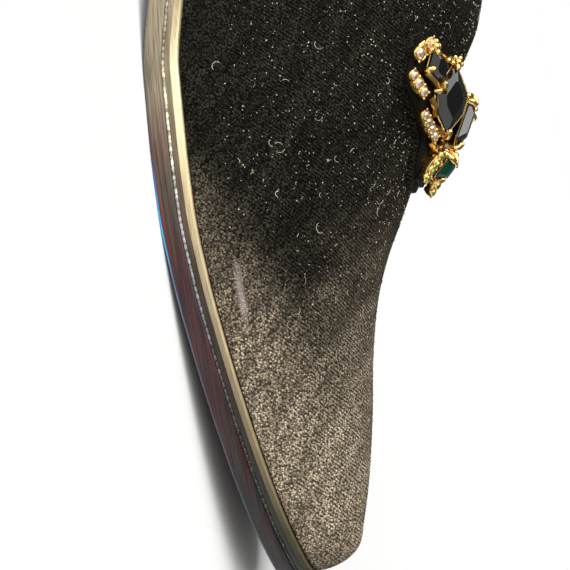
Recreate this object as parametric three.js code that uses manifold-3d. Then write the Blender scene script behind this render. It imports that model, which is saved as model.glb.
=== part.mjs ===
// Velvet slipper loafer for the right foot, with a narrow pointed toe and a low stacked heel.
// Millimetres. +X points to the toe, +Z up, and -Y is the outer side of the foot.

import * as THREE from 'three';
import { mergeVertices } from 'three/addons/utils/BufferGeometryUtils.js';
import Module from 'manifold-3d';

const wasm = await Module();
wasm.setup();

// Driving sizes of the last
const LENGTH = 262; // upper, tip of the toe to the back of the heel
const BALL_WIDTH = 79; // feather line, across the widest part
const CREST_HEIGHT = 64; // top of the instep above the feather line
const TOE_SPRING = 10; // underside of the sole above the floor at the tip
const HEEL_HEIGHT = 18; // underside of the outsole above the floor at the heel
const HEEL_LEAN = 4.5; // how far the back leans in at the collar
const HEEL_BULGE_HEIGHT = 18; // fullest part of the back, above the feather line
const LEAN_START = 0.75; // share of the length where the lean begins

// Sole and heel
const OUTSOLE_THICKNESS = 4.6;
const MIDSOLE_THICKNESS = 2.9;
const SOLE_PROUD = 1.9; // how far the edge of the sole stands outside the feather line
const EDGE_ROUND = 0.7; // rounded corners of the outsole's edge
const GROOVE_DEPTH = 0.6; // wheeled groove between outsole and midsole
const GROOVE_HALF_WIDTH = 0.5;
const BEVEL_HEIGHT = 1.4; // bevel along the top of the midsole's edge
const BEVEL_INSET = 1.1;
const HEEL_LENGTH = 57; // along the middle of the heel
const HEEL_TAPER = 1.5; // how far each side draws in towards the floor
const HEEL_SET_BACK = 0.5; // the heel's top edge inside the outsole's
const TOP_PIECE_THICKNESS = 4;
const BREAST_RADIUS = 70; // hollow front face of the heel
const BREAST_HOLLOW = 3;

// Upper, insole and collar
const WALL = 1.8; // velvet, stiffener and lining together
const INSOLE_THICKNESS = 2.5;
const THROAT_BACK = 139; // middle of the throat, from the tip
const SIDE_HEIGHT = 59; // lowest point of the collar above the floor
const SIDE_BACK = 196; // where that is, from the tip
const BACK_HEIGHT = 82; // collar above the floor at the back
const COLLAR_SWEEP = 2.2; // how quickly the collar falls from the throat to the sides
const BINDING_HEIGHT = 4.5;
const BINDING_PROUD = 0.5; // ribbon thickness outside and inside the wall

const FIT = 0.3; // gap between pieces that touch

// Cluster of stones on the vamp
const CLUSTER_TOE_BACK = 87; // its toe end, from the tip
const CLUSTER_LENGTH = 28.5;
const CLUSTER_WIDTH = 43; // seen from above
const CLUSTER_HEIGHT = 6.3; // widest part of its centre stone above the velvet
const PAD_THICKNESS = 1;
const PAD_MARGIN = 1;
const PLATE_THICKNESS = 0.9;
const STONE_DEPTH = 1.4; // base below the girdle
const STONE_GIRDLE = 0.5; // upright band at the widest part
const STONE_CROWN = 1.5; // table above the girdle
const STONE_TABLE = 0.55; // table and base, as shares of the girdle
const SETTING_WALL = 0.5;
const PRONG_RADIUS = 0.55;
const PRONG_HEIGHT = 0.5; // above the girdle
const LEAF_DOME = 0.9; // top of a leaf above its widest part
const LEAF_TOP = 0.6; // flat top and foot, as shares of the widest part
const LEAF_FOOT = 0.85;

// Density of the faceted surfaces
const STATIONS = 44;
const HEEL_STATIONS = 20;
const ARCH_STEPS = 22;
const COLLAR_STEPS = 30;
const COLLAR_CROWDING = 0.75; // how closely those steps crowd at the throat
const BREAST_SIDES = 96;
const LEAF_SIDES = 10;
const POST_SIDES = 6;
const TURN_STEP = 0.004; // for slopes along the last
const ANGLE_STEP = 0.02; // for slopes over it
const HALVINGS = 40;
const CUT_MARGIN = 1; // how far a cutting shape runs past what it cuts

// The last seen from above, from the tip of the toe (at 0) to the back of the heel (at 1).
// outer, inner and ridge are shares of BALL_WIDTH from the axis, proud of SOLE_PROUD.
const PLAN = [
  { at: 0, outer: 0, inner: 0, ridge: 0, proud: 1 },
  { at: 0.019, outer: 0.12, inner: 0.114, ridge: 0, proud: 1 },
  { at: 0.038, outer: 0.172, inner: 0.158, ridge: 0, proud: 1 },
  { at: 0.076, outer: 0.252, inner: 0.234, ridge: -0.005, proud: 1 },
  { at: 0.134, outer: 0.346, inner: 0.319, ridge: -0.01, proud: 1 },
  { at: 0.191, outer: 0.414, inner: 0.386, ridge: -0.013, proud: 1 },
  { at: 0.248, outer: 0.467, inner: 0.443, ridge: -0.013, proud: 1 },
  { at: 0.305, outer: 0.505, inner: 0.477, ridge: -0.013, proud: 1 },
  { at: 0.363, outer: 0.523, inner: 0.476, ridge: -0.013, proud: 1 },
  { at: 0.42, outer: 0.52, inner: 0.443, ridge: -0.013, proud: 1 },
  { at: 0.477, outer: 0.505, inner: 0.399, ridge: -0.015, proud: 1 },
  { at: 0.553, outer: 0.468, inner: 0.354, ridge: -0.02, proud: 0.95 },
  { at: 0.63, outer: 0.432, inner: 0.329, ridge: -0.025, proud: 0.8 },
  { at: 0.706, outer: 0.406, inner: 0.306, ridge: -0.03, proud: 0.6 },
  { at: 0.775, outer: 0.396, inner: 0.305, ridge: -0.035, proud: 0.5 },
  { at: 0.847, outer: 0.395, inner: 0.315, ridge: -0.038, proud: 0.45 },
  { at: 0.893, outer: 0.391, inner: 0.315, ridge: -0.038, proud: 0.45 },
  { at: 0.931, outer: 0.37, inner: 0.294, ridge: -0.038, proud: 0.45 },
  { at: 0.962, outer: 0.309, inner: 0.233, ridge: -0.038, proud: 0.45 },
  { at: 0.985, outer: 0.22, inner: 0.144, ridge: -0.038, proud: 0.45 },
  { at: 1, outer: 0.038, inner: -0.038, ridge: -0.038, proud: 0.45 },
];

// The last seen from the side. crest is a share of CREST_HEIGHT, spring of TOE_SPRING and pitch of
// HEEL_HEIGHT; full is the power of the section's superellipse.
const PROFILE = [
  { at: 0, crest: 0, spring: 1, pitch: 0, full: 2.1 },
  { at: 0.019, crest: 0.178, spring: 0.87, pitch: 0, full: 2.1 },
  { at: 0.038, crest: 0.217, spring: 0.77, pitch: 0, full: 2.1 },
  { at: 0.076, crest: 0.28, spring: 0.61, pitch: 0, full: 2.1 },
  { at: 0.134, crest: 0.352, spring: 0.41, pitch: 0, full: 2.1 },
  { at: 0.191, crest: 0.413, spring: 0.23, pitch: 0, full: 2.05 },
  { at: 0.248, crest: 0.492, spring: 0.08, pitch: 0, full: 2 },
  { at: 0.305, crest: 0.613, spring: 0, pitch: 0, full: 1.95 },
  { at: 0.363, crest: 0.739, spring: 0, pitch: 0, full: 1.9 },
  { at: 0.42, crest: 0.873, spring: 0, pitch: 0, full: 1.9 },
  { at: 0.477, crest: 0.98, spring: 0, pitch: 0.1, full: 1.9 },
  { at: 0.553, crest: 1.01, spring: 0, pitch: 0.33, full: 2 },
  { at: 0.63, crest: 1.03, spring: 0, pitch: 0.58, full: 2.1 },
  { at: 0.706, crest: 1.06, spring: 0, pitch: 0.83, full: 2.2 },
  { at: 0.775, crest: 1.1, spring: 0, pitch: 1, full: 2.3 },
  { at: 0.847, crest: 1.17, spring: 0, pitch: 1, full: 2.3 },
  { at: 0.893, crest: 1.21, spring: 0, pitch: 1, full: 2.3 },
  { at: 0.931, crest: 1.24, spring: 0, pitch: 1, full: 2.3 },
  { at: 0.962, crest: 1.26, spring: 0, pitch: 1, full: 2.3 },
  { at: 0.985, crest: 1.28, spring: 0, pitch: 1, full: 2.3 },
  { at: 1, crest: 1.3, spring: 0, pitch: 1, full: 2.3 },
];

// Stations crowd towards the two round ends of the last
const turnOf = (share) => Math.acos(1 - 2 * THREE.MathUtils.clamp(share, 0, 1)) / Math.PI;
const shareOf = (turn) => (1 - Math.cos(Math.PI * THREE.MathUtils.clamp(turn, 0, 1))) / 2;

// Smooth curve through one column of the table, with no overshoot between the rows
function throughRows(rows, column) {
  const at = rows.map((row) => turnOf(row.at));
  const value = rows.map((row) => row[column]);
  const last = rows.length - 1;
  const width = at.slice(1).map((end, i) => end - at[i]);
  const slope = width.map((span, i) => (value[i + 1] - value[i]) / span);
  const tangent = value.map((_, i) => {
    if (i === 0) return slope[0];
    if (i === last) return slope[last - 1];
    if (slope[i - 1] * slope[i] <= 0) return 0;
    const before = 2 * width[i] + width[i - 1];
    const after = width[i] + 2 * width[i - 1];
    return (before + after) / (before / slope[i - 1] + after / slope[i]);
  });
  return (share) => {
    const turn = turnOf(share);
    let i = 0;
    while (i < last - 1 && turn > at[i + 1]) i += 1;
    const k = (turn - at[i]) / width[i];
    const rise = value[i + 1] - value[i];
    const bend = tangent[i] * width[i];
    const curl = tangent[i + 1] * width[i];
    return value[i] + k * (bend + k * (3 * rise - 2 * bend - curl + k * (bend + curl - 2 * rise)));
  };
}

const outer = throughRows(PLAN, 'outer');
const inner = throughRows(PLAN, 'inner');
const ridge = throughRows(PLAN, 'ridge');
const crest = throughRows(PROFILE, 'crest');
const spring = throughRows(PROFILE, 'spring');
const pitch = throughRows(PROFILE, 'pitch');
const proud = throughRows(PLAN, 'proud');
const full = throughRows(PROFILE, 'full');

// Heights above the floor of the sole's underside and of the feather line
const SOLE_TOP = OUTSOLE_THICKNESS + FIT + MIDSOLE_THICKNESS;
const underside = (share) => TOE_SPRING * spring(share) + HEEL_HEIGHT * pitch(share);
const featherHeight = (share) => underside(share) + SOLE_TOP + FIT;
const shareAt = (x) => THREE.MathUtils.clamp(-x / LENGTH, 0, 1);

// How far the back of the upper leans forward at a height above the feather line
function leanAt(share, up) {
  const span = BACK_HEIGHT - HEEL_HEIGHT - SOLE_TOP - HEEL_BULGE_HEIGHT;
  const lean = HEEL_LEAN * ((up - HEEL_BULGE_HEIGHT) / span) ** 2;
  return THREE.MathUtils.smoothstep(share, LEAN_START, 1) * Math.min(lean, 2 * HEEL_LEAN);
}

// Point on the outside of the upper: angle 0 is the outer feather line, PI/2 the ridge, PI the inner
function onLast(share, angle) {
  const power = 2 / full(share);
  const side = angle < Math.PI / 2 ? -(outer(share) + ridge(share)) : inner(share) - ridge(share);
  const across = ridge(share) + side * Math.abs(Math.cos(angle)) ** power;
  const up = CREST_HEIGHT * crest(share) * Math.sin(angle) ** power;
  const along = leanAt(share, up) - LENGTH * share;
  return new THREE.Vector3(along, BALL_WIDTH * across, featherHeight(share) + up);
}

// Outward normal there, from small steps along the last and over it
function normalOnLast(share, angle) {
  if (share === 0) return new THREE.Vector3(1, 0, 0);
  const turn = turnOf(share);
  const along = onLast(shareOf(turn + TURN_STEP), angle).sub(onLast(shareOf(turn - TURN_STEP), angle));
  const low = Math.max(angle - ANGLE_STEP, 0);
  const high = Math.min(angle + ANGLE_STEP, Math.PI);
  const over = onLast(share, high).sub(onLast(share, low));
  const normal = over.cross(along);
  if (share === 1) normal.y = 0;
  return normal.normalize();
}

// Closed geometry from triangles whose corners are points; slivers without area are left out
function geometryFrom(triangles) {
  const positions = triangles.flat().flatMap((point) => [point.x, point.y, point.z]);
  const raw = new THREE.BufferGeometry();
  raw.setAttribute('position', new THREE.Float32BufferAttribute(positions, 3));
  const merged = mergeVertices(raw, 1e-3);
  const kept = [];
  const index = merged.index.array;
  for (let i = 0; i < index.length; i += 3) {
    const [a, b, c] = [index[i], index[i + 1], index[i + 2]];
    if (a !== b && b !== c && c !== a) kept.push(a, b, c);
  }
  merged.setIndex(kept);
  return merged;
}

function quad(triangles, a, b, c, d) {
  triangles.push([a, b, c], [a, c, d]);
}

// Skin between neighbouring closed rings, wound so that it faces out
function skin(triangles, rings) {
  for (let i = 0; i + 1 < rings.length; i += 1) {
    const here = rings[i];
    const next = rings[i + 1];
    here.forEach((point, j) => {
      const k = (j + 1) % here.length;
      quad(triangles, point, next[j], next[k], here[k]);
    });
  }
}

function solidOf(geometry) {
  const bare = geometry.clone();
  bare.deleteAttribute('normal');
  bare.deleteAttribute('uv');
  const merged = mergeVertices(bare, 1e-4);
  return new wasm.Manifold(new wasm.Mesh({
    numProp: 3,
    vertProperties: new Float32Array(merged.attributes.position.array),
    triVerts: new Uint32Array(merged.index.array),
  }));
}

function geometryOf(solid) {
  const mesh = solid.getMesh();
  const geometry = new THREE.BufferGeometry();
  geometry.setAttribute('position', new THREE.Float32BufferAttribute(mesh.vertProperties, 3));
  geometry.setIndex(Array.from(mesh.triVerts));
  return geometry;
}

// The last as one closed form, sunk inside its surface by a depth and carried down past the feather line
function lastForm(depth, drop) {
  const rings = [];
  for (let i = 0; i <= STATIONS; i += 1) {
    const share = shareOf(i / STATIONS);
    const ring = [];
    for (let j = 0; j <= ARCH_STEPS; j += 1) {
      const angle = Math.PI * (j / ARCH_STEPS);
      ring.push(onLast(share, angle).addScaledVector(normalOnLast(share, angle), -depth));
    }
    if (drop > 0) {
      const below = new THREE.Vector3(0, 0, -drop);
      ring.push(ring[ARCH_STEPS].clone().add(below));
      ring.push(ring[0].clone().add(below));
    }
    rings.push(ring);
  }
  const triangles = [];
  skin(triangles, rings.reverse());
  return solidOf(geometryFrom(triangles));
}

// Point of the sole's outline, in plan, moved outwards by a growth; side is -1 outer and 1 inner
function onOutline(share, side, growth) {
  const across = (at) => BALL_WIDTH * (side < 0 ? -outer(at) : inner(at));
  const point = new THREE.Vector2(-LENGTH * share, across(share));
  const ahead = shareOf(turnOf(share) - TURN_STEP);
  const behind = shareOf(turnOf(share) + TURN_STEP);
  const normal = new THREE.Vector2(across(ahead) - across(behind), LENGTH * (ahead - behind));
  normal.multiplyScalar(-side);
  if (share === 0) normal.set(1, 0);
  if (share === 1) normal.set(-1, 0);
  return point.addScaledVector(normal.normalize(), growth);
}

// Layer of the sole from a start share back to the heel. Each row of the edge's profile has a
// growth and a height, both functions of the share; rows run from the bottom up.
function layer(profile, start = 0, stations = STATIONS) {
  const shares = [];
  const first = turnOf(start);
  for (let i = 0; i <= stations; i += 1) shares.push(shareOf(first + (1 - first) * i / stations));
  const rows = profile.map(({ growth, height }) => {
    const place = (share, side) => {
      const plan = onOutline(share, side, growth(share));
      return new THREE.Vector3(plan.x, plan.y, height(shareAt(plan.x)));
    };
    const along = (side) => shares.map((share) => place(share, side));
    return { lateral: along(-1), medial: along(1) };
  });
  const rings = rows.map(({ lateral, medial }) => [...lateral, ...medial.slice().reverse()]);
  const triangles = [];
  skin(triangles, rings);
  const bottom = rows[0];
  const top = rows[rows.length - 1];
  for (let i = 0; i < stations; i += 1) {
    quad(triangles, bottom.lateral[i], bottom.lateral[i + 1], bottom.medial[i + 1], bottom.medial[i]);
    quad(triangles, top.lateral[i], top.medial[i], top.medial[i + 1], top.lateral[i + 1]);
  }
  return solidOf(geometryFrom(triangles));
}

// Row of an edge profile: inset is measured in from the sole's edge, rise up from the underside
const edgeRow = (inset, rise) => ({
  growth: (share) => SOLE_PROUD * proud(share) - inset,
  height: (share) => underside(share) + rise,
});

function outsole() {
  return layer([
    edgeRow(EDGE_ROUND, 0),
    edgeRow(0, EDGE_ROUND),
    edgeRow(0, OUTSOLE_THICKNESS - GROOVE_HALF_WIDTH),
    edgeRow(GROOVE_DEPTH, OUTSOLE_THICKNESS),
  ]);
}

function midsole() {
  const base = OUTSOLE_THICKNESS + FIT;
  return layer([
    edgeRow(GROOVE_DEPTH, base),
    edgeRow(0, base + GROOVE_HALF_WIDTH),
    edgeRow(0, SOLE_TOP - BEVEL_HEIGHT),
    edgeRow(BEVEL_INSET, SOLE_TOP),
  ]);
}

// Heel: tapered block and its lift, with the front face hollowed by an upright cylinder
function heelPart(bottom, top, bottomInset, topInset) {
  const start = 1 - HEEL_LENGTH / LENGTH;
  const growth = (inset) => (share) => SOLE_PROUD * proud(share) - inset;
  const block = layer([
    { growth: growth(bottomInset), height: bottom },
    { growth: growth(topInset), height: top },
  ], start, HEEL_STATIONS);
  const round = new THREE.CylinderGeometry(BREAST_RADIUS, BREAST_RADIUS, 2 * BACK_HEIGHT, BREAST_SIDES);
  round.rotateX(Math.PI / 2);
  round.translate(HEEL_LENGTH - LENGTH - BREAST_HOLLOW + BREAST_RADIUS, BALL_WIDTH * ridge(1), 0);
  return block.subtract(solidOf(round));
}

function heelInsetAt(height) {
  return HEEL_SET_BACK + HEEL_TAPER * (1 - height / HEEL_HEIGHT);
}

function heelTopPiece() {
  return heelPart(() => 0, () => TOP_PIECE_THICKNESS, heelInsetAt(0), heelInsetAt(TOP_PIECE_THICKNESS));
}

function heelBlock() {
  const bottom = TOP_PIECE_THICKNESS + FIT;
  const top = (share) => underside(share) - FIT;
  return heelPart(() => bottom, top, heelInsetAt(bottom), heelInsetAt(HEEL_HEIGHT));
}

// Height above the floor of the line of the collar, seen from the side
function collarHeight(share) {
  const throat = THROAT_BACK / LENGTH;
  const side = SIDE_BACK / LENGTH;
  const throatHeight = featherHeight(throat) + CREST_HEIGHT * crest(throat);
  if (share < side) {
    const ahead = (side - share) / (side - throat);
    return SIDE_HEIGHT + (throatHeight - SIDE_HEIGHT) * ahead ** COLLAR_SWEEP;
  }
  const behind = (share - side) / (1 - side);
  return SIDE_HEIGHT + (BACK_HEIGHT - SIDE_HEIGHT) * THREE.MathUtils.smoothstep(behind, 0, 1);
}

// Share at which the line of the collar, lowered by a sink, meets the ridge of the vamp
function throatShare(sink) {
  let low = 0;
  let high = SIDE_BACK / LENGTH;
  for (let i = 0; i < HALVINGS; i += 1) {
    const mid = (low + high) / 2;
    const ridgeHeight = featherHeight(mid) + CREST_HEIGHT * crest(mid);
    if (ridgeHeight > collarHeight(mid) - sink) high = mid;
    else low = mid;
  }
  return high;
}

// Angle on the last at which a height above the feather line is reached, on the outer side
function angleAt(share, up) {
  const level = THREE.MathUtils.clamp(up / (CREST_HEIGHT * crest(share)), 0, 1);
  return Math.asin(level ** (full(share) / 2));
}

// Closed line round the collar, lowered by a sink and moved inwards from the outside by a depth
function collarLine(sink, depth) {
  const first = throatShare(sink);
  const outerSide = [];
  const innerSide = [];
  for (let i = 0; i <= COLLAR_STEPS; i += 1) {
    const along = THREE.MathUtils.lerp(i / COLLAR_STEPS, (i / COLLAR_STEPS) ** 2, COLLAR_CROWDING);
    const turn = THREE.MathUtils.lerp(turnOf(first), 1, along);
    const share = i === COLLAR_STEPS ? 1 : shareOf(turn);
    const up = collarHeight(share) - sink - featherHeight(share);
    const angle = i === 0 ? Math.PI / 2 : angleAt(share, up);
    const place = (at) => onLast(share, at).addScaledVector(normalOnLast(share, at), -depth);
    outerSide.push(place(angle));
    if (i > 0 && i < COLLAR_STEPS) innerSide.unshift(place(Math.PI - angle));
  }
  return [...outerSide, ...innerSide];
}

// Everything above the line of the collar, lowered by a sink; the cut through the wall is square to it
function aboveCollar(sink) {
  const inside = collarLine(sink, WALL + CUT_MARGIN);
  const outside = collarLine(sink, -CUT_MARGIN);
  const top = outside.map((point) => new THREE.Vector3(point.x, point.y, 2 * BACK_HEIGHT));
  const triangles = [];
  skin(triangles, [inside, outside, top]);
  const count = inside.length;
  for (let i = 0; i < COLLAR_STEPS; i += 1) {
    const across = (count - i) % count;
    const next = count - i - 1;
    quad(triangles, inside[i], inside[i + 1], inside[next], inside[across]);
    quad(triangles, top[i], top[across], top[next], top[i + 1]);
  }
  return solidOf(geometryFrom(triangles));
}

// Hollow velvet shell, open underneath and at the collar, up to where the binding starts
function upper() {
  const shell = lastForm(0, 0).subtract(lastForm(WALL, SOLE_TOP));
  return shell.subtract(aboveCollar(BINDING_HEIGHT + FIT));
}

// Ribbon round the top edge, as one ring: up the outside, over the edge and down the inside
function collarBinding() {
  const rings = [
    collarLine(BINDING_HEIGHT, -BINDING_PROUD),
    collarLine(BINDING_PROUD, -BINDING_PROUD),
    collarLine(0, 0),
    collarLine(0, WALL),
    collarLine(BINDING_PROUD, WALL + BINDING_PROUD),
    collarLine(BINDING_HEIGHT, WALL + BINDING_PROUD),
  ];
  rings.push(rings[0]);
  const triangles = [];
  skin(triangles, rings);
  return solidOf(geometryFrom(triangles));
}

// Board and sock, cut to the inside of the upper
function insole() {
  const board = layer([
    { growth: () => FIT - WALL, height: (share) => featherHeight(share) },
    { growth: () => FIT - WALL, height: (share) => featherHeight(share) + INSOLE_THICKNESS },
  ]);
  return board.intersect(lastForm(WALL + FIT, SOLE_TOP));
}

// Shape of the cluster seen from above: shares of its length from the toe end, and of its half
// width, out to the wings at the back and in to the notch between them
const CLUSTER_OUTLINE = [
  { along: 0, across: 0.19 },
  { along: 0.08, across: 0.3 },
  { along: 0.3, across: 0.42 },
  { along: 0.45, across: 0.68 },
  { along: 0.62, across: 0.96 },
  { along: 0.88, across: 1 },
  { along: 1, across: 0.95 },
  { along: 0.96, across: 0.6 },
  { along: 0.84, across: 0.3 },
  { along: 0.76, across: 0 },
];

// A row of the next two tables in millimetres. Its along and length are shares of CLUSTER_LENGTH,
// along from the toe end; across is a share of half of CLUSTER_WIDTH from the ridge line and width
// of all of it; lift, from the velvet to the widest part, is a share of CLUSTER_HEIGHT.
const sized = (row) => ({
  ...row,
  back: CLUSTER_TOE_BACK + row.along * CLUSTER_LENGTH,
  across: row.across * CLUSTER_WIDTH / 2,
  lift: row.lift * CLUSTER_HEIGHT,
  length: row.length * CLUSTER_LENGTH,
  width: row.width * CLUSTER_WIDTH,
});

// Stones of the cluster. turn swings the toe end to the ridge, tilt faces the stone to its side
// and nose raises its toe end, in degrees. A paired stone has a twin on the inner side.
const STONES = [
  {
    name: 'centre_baguette', cut: 'baguette', length: 0.4, width: 0.116,
    along: 0.58, across: 0, lift: 1, turn: 0, tilt: 0, nose: 4,
  },
  {
    name: 'toe_stone', cut: 'baguette', length: 0.205, width: 0.116,
    along: 0.205, across: 0, lift: 1, turn: 0, tilt: 0, nose: -16,
  },
  {
    name: 'large_kite', cut: 'kite', length: 0.545, width: 0.195, paired: true,
    along: 0.64, across: 0.437, lift: 0.81, turn: 12, tilt: 32, nose: 10,
  },
  {
    name: 'small_kite', cut: 'kite', length: 0.3, width: 0.13, paired: true,
    along: 0.82, across: 0.73, lift: 0.65, turn: 35, tilt: 8, nose: 0,
  },
].map(sized);

// Leaves of the casting, one of each on either side, placed as the stones are
const LEAVES = [
  { along: 0.93, across: 0.89, lift: 0.46, turn: -50, length: 0.26, width: 0.081 },
  { along: 0.667, across: 0.847, lift: 0.46, turn: 50, length: 0.253, width: 0.081 },
  { along: 0.41, across: 0.507, lift: 0.51, turn: 62, length: 0.35, width: 0.079 },
  { along: 0.155, across: 0.25, lift: 0.78, turn: -8, nose: -14, length: 0.288, width: 0.074 },
].map(sized);

// Corners of a cut stone's outline as shares of its half length and half width, from the toe end round
const CUTS = {
  kite: [[1, 0], [0.35, 0.82], [-0.2, 1], [-1, 0.12], [-1, -0.12], [-0.2, -1], [0.35, -0.82]],
  baguette: [[1, 0.62], [0.8, 1], [-0.8, 1], [-1, 0.62], [-1, -0.62], [-0.8, -1], [0.8, -1], [1, -0.62]],
};

const PLATE_HEIGHT = 2 * FIT + PAD_THICKNESS;

// Place on the vamp: origin on the velvet, z out of it, x towards the toe
function onVamp(back, across) {
  const share = back / LENGTH;
  const offset = across - BALL_WIDTH * ridge(share);
  const half = BALL_WIDTH * (offset < 0 ? outer(share) + ridge(share) : inner(share) - ridge(share));
  const outerAngle = Math.acos(Math.min(Math.abs(offset) / half, 1) ** (full(share) / 2));
  const angle = offset < 0 ? outerAngle : Math.PI - outerAngle;
  const up = normalOnLast(share, angle);
  const forward = new THREE.Vector3(1, 0, 0).addScaledVector(up, -up.x).normalize();
  const left = up.clone().cross(forward);
  return new THREE.Matrix4().makeBasis(forward, left, up).setPosition(onLast(share, angle));
}

// Frame of a piece of the cluster; side is -1 on the outer side of the foot and 1 on the inner
function clusterFrame({ back, across, lift, turn, tilt = 0, nose = 0 }, side) {
  const radians = THREE.MathUtils.degToRad;
  const frame = onVamp(back, side * across).multiply(new THREE.Matrix4().makeTranslation(0, 0, lift));
  frame.multiply(new THREE.Matrix4().makeRotationZ(radians(-side * turn)));
  frame.multiply(new THREE.Matrix4().makeRotationX(radians(-side * tilt)));
  return frame.multiply(new THREE.Matrix4().makeRotationY(radians(-nose)));
}

// Outline of a cut stone at one height, grown by a margin and then shrunk towards its middle
function stoneRing({ length, width, cut }, margin, shrink, height) {
  return CUTS[cut].map(([along, over]) => new THREE.Vector3(
    along * (length / 2 + margin) * shrink,
    over * (width / 2 + margin) * shrink,
    height,
  )).reverse();
}

// Geometry between rings that lie above each other, with flat ends
function stack(rings) {
  const triangles = [];
  skin(triangles, rings);
  const bottom = rings[0];
  const top = rings[rings.length - 1];
  for (let i = 1; i + 1 < bottom.length; i += 1) {
    triangles.push([bottom[0], bottom[i], bottom[i + 1]]);
    triangles.push([top[0], top[i + 1], top[i]]);
  }
  return geometryFrom(triangles);
}

// Faceted stone with a small base, widest at the girdle (height 0), and a flat table on top
function stone(row, margin) {
  return stack([
    stoneRing(row, margin, STONE_TABLE, -STONE_DEPTH - margin),
    stoneRing(row, margin, 1, -STONE_GIRDLE),
    stoneRing(row, margin, 1, 0),
    stoneRing(row, margin, STONE_TABLE, STONE_CROWN + margin),
  ]);
}

// Outside of the cup that a stone sits in
function cup(row) {
  const grown = SETTING_WALL + FIT;
  return stack([
    stoneRing(row, grown, STONE_TABLE, -STONE_DEPTH - grown),
    stoneRing(row, grown, 1, -STONE_GIRDLE),
    stoneRing(row, grown, 1, -STONE_GIRDLE / 2),
  ]);
}

// Upright post between two heights
function post(radius, low, high) {
  const shape = new THREE.CylinderGeometry(radius, radius, high - low, POST_SIDES);
  shape.rotateX(Math.PI / 2);
  return shape.translate(0, 0, (low + high) / 2);
}

// Posts that hold a stone, at its two ends and its two broad corners
function prongs(row) {
  const reach = FIT + PRONG_RADIUS;
  const broad = CUTS[row.cut][2][0];
  return [[1, 0], [-1, 0], [broad, 1], [broad, -1]].map(([along, over]) => {
    const prong = post(PRONG_RADIUS, -STONE_DEPTH, PRONG_HEIGHT);
    return prong.translate(along * (row.length / 2 + reach), over * (row.width / 2 + reach), 0);
  });
}

// Leaf: a long rounded boss, widest at height 0, that stands on the plate
function leaf({ length, width, lift }) {
  const ring = (grown, height) => {
    const points = [];
    for (let i = 0; i < LEAF_SIDES; i += 1) {
      const angle = -2 * Math.PI * (i / LEAF_SIDES);
      const along = grown * length / 2 * Math.cos(angle);
      points.push(new THREE.Vector3(along, grown * width / 2 * Math.sin(angle), height));
    }
    return points;
  };
  return stack([ring(LEAF_FOOT, PLATE_HEIGHT - lift), ring(1, 0), ring(LEAF_TOP, LEAF_DOME)]);
}

// Part of a skin over the vamp, between two heights above the velvet, inside the cluster's outline
function clusterSheet(low, high, margin) {
  const corner = ({ along, across }, side) => {
    const back = CLUSTER_TOE_BACK - margin + along * (CLUSTER_LENGTH + 2 * margin);
    const out = side * across * (CLUSTER_WIDTH / 2 + margin);
    return new THREE.Vector2(-back, out + BALL_WIDTH * ridge(back / LENGTH));
  };
  const near = CLUSTER_OUTLINE.map((row) => corner(row, -1));
  const far = CLUSTER_OUTLINE.map((row) => corner(row, 1)).reverse();
  const outline = new THREE.Shape([...near, ...far]);
  const column = new THREE.ExtrudeGeometry(outline, { depth: 2 * CREST_HEIGHT, bevelEnabled: false });
  column.translate(0, 0, SOLE_TOP + TOE_SPRING);
  return lastForm(-high, 0).subtract(lastForm(-low, 0)).intersect(solidOf(column));
}

function ornamentPad() {
  return clusterSheet(FIT, FIT + PAD_THICKNESS, PAD_MARGIN);
}

const sidesOf = (row) => (row.paired ? [-1, 1] : [-1]);

// Cup, prongs and stem of one stone, the stem down to the plate
function setting(row, side) {
  const frame = clusterFrame(row, side);
  const stem = post(row.width / 3, PLATE_HEIGHT, row.lift - STONE_GIRDLE);
  const parts = [cup(row), ...prongs(row)].map((part) => part.applyMatrix4(frame));
  return [stem.applyMatrix4(onVamp(row.back, side * row.across)), ...parts];
}

// Casting that follows the vamp: its plate, with the settings and the leaves standing on it
function ornamentCasting() {
  let casting = clusterSheet(PLATE_HEIGHT, PLATE_HEIGHT + PLATE_THICKNESS, 0);
  for (const row of STONES) {
    for (const side of sidesOf(row)) {
      for (const part of setting(row, side)) casting = casting.add(solidOf(part));
    }
  }
  for (const row of LEAVES) {
    for (const side of [-1, 1]) {
      casting = casting.add(solidOf(leaf(row).applyMatrix4(clusterFrame(row, side))));
    }
  }
  for (const row of STONES) {
    for (const side of sidesOf(row)) {
      casting = casting.subtract(solidOf(stone(row, FIT).applyMatrix4(clusterFrame(row, side))));
    }
  }
  return casting.subtract(lastForm(-PLATE_HEIGHT, SOLE_TOP));
}

const VELVET = new THREE.MeshStandardMaterial({ color: 0x17171a, roughness: 0.95, metalness: 0 });
const RIBBON = new THREE.MeshStandardMaterial({ color: 0x101012, roughness: 0.6, metalness: 0 });
const EDGE_LEATHER = new THREE.MeshStandardMaterial({ color: 0x2b2823, roughness: 0.3, metalness: 0 });
const WELT_LEATHER = new THREE.MeshStandardMaterial({ color: 0x3a352b, roughness: 0.32, metalness: 0 });
const LIFT_RUBBER = new THREE.MeshStandardMaterial({ color: 0x121212, roughness: 0.7, metalness: 0 });
const SOCK_LEATHER = new THREE.MeshStandardMaterial({ color: 0x8c7458, roughness: 0.6, metalness: 0 });
const PAD_LEATHER = new THREE.MeshStandardMaterial({ color: 0x0d0d0f, roughness: 0.8, metalness: 0 });
const GILT_METAL = new THREE.MeshStandardMaterial({ color: 0xd9b25a, roughness: 0.3, metalness: 1 });
const BLACK_GLASS = new THREE.MeshStandardMaterial({ color: 0x08080a, roughness: 0.08, metalness: 0 });

const shoe = new THREE.Group();

function add(name, solid, material) {
  const mesh = new THREE.Mesh(geometryOf(solid), material);
  mesh.name = name;
  shoe.add(mesh);
}

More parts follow.
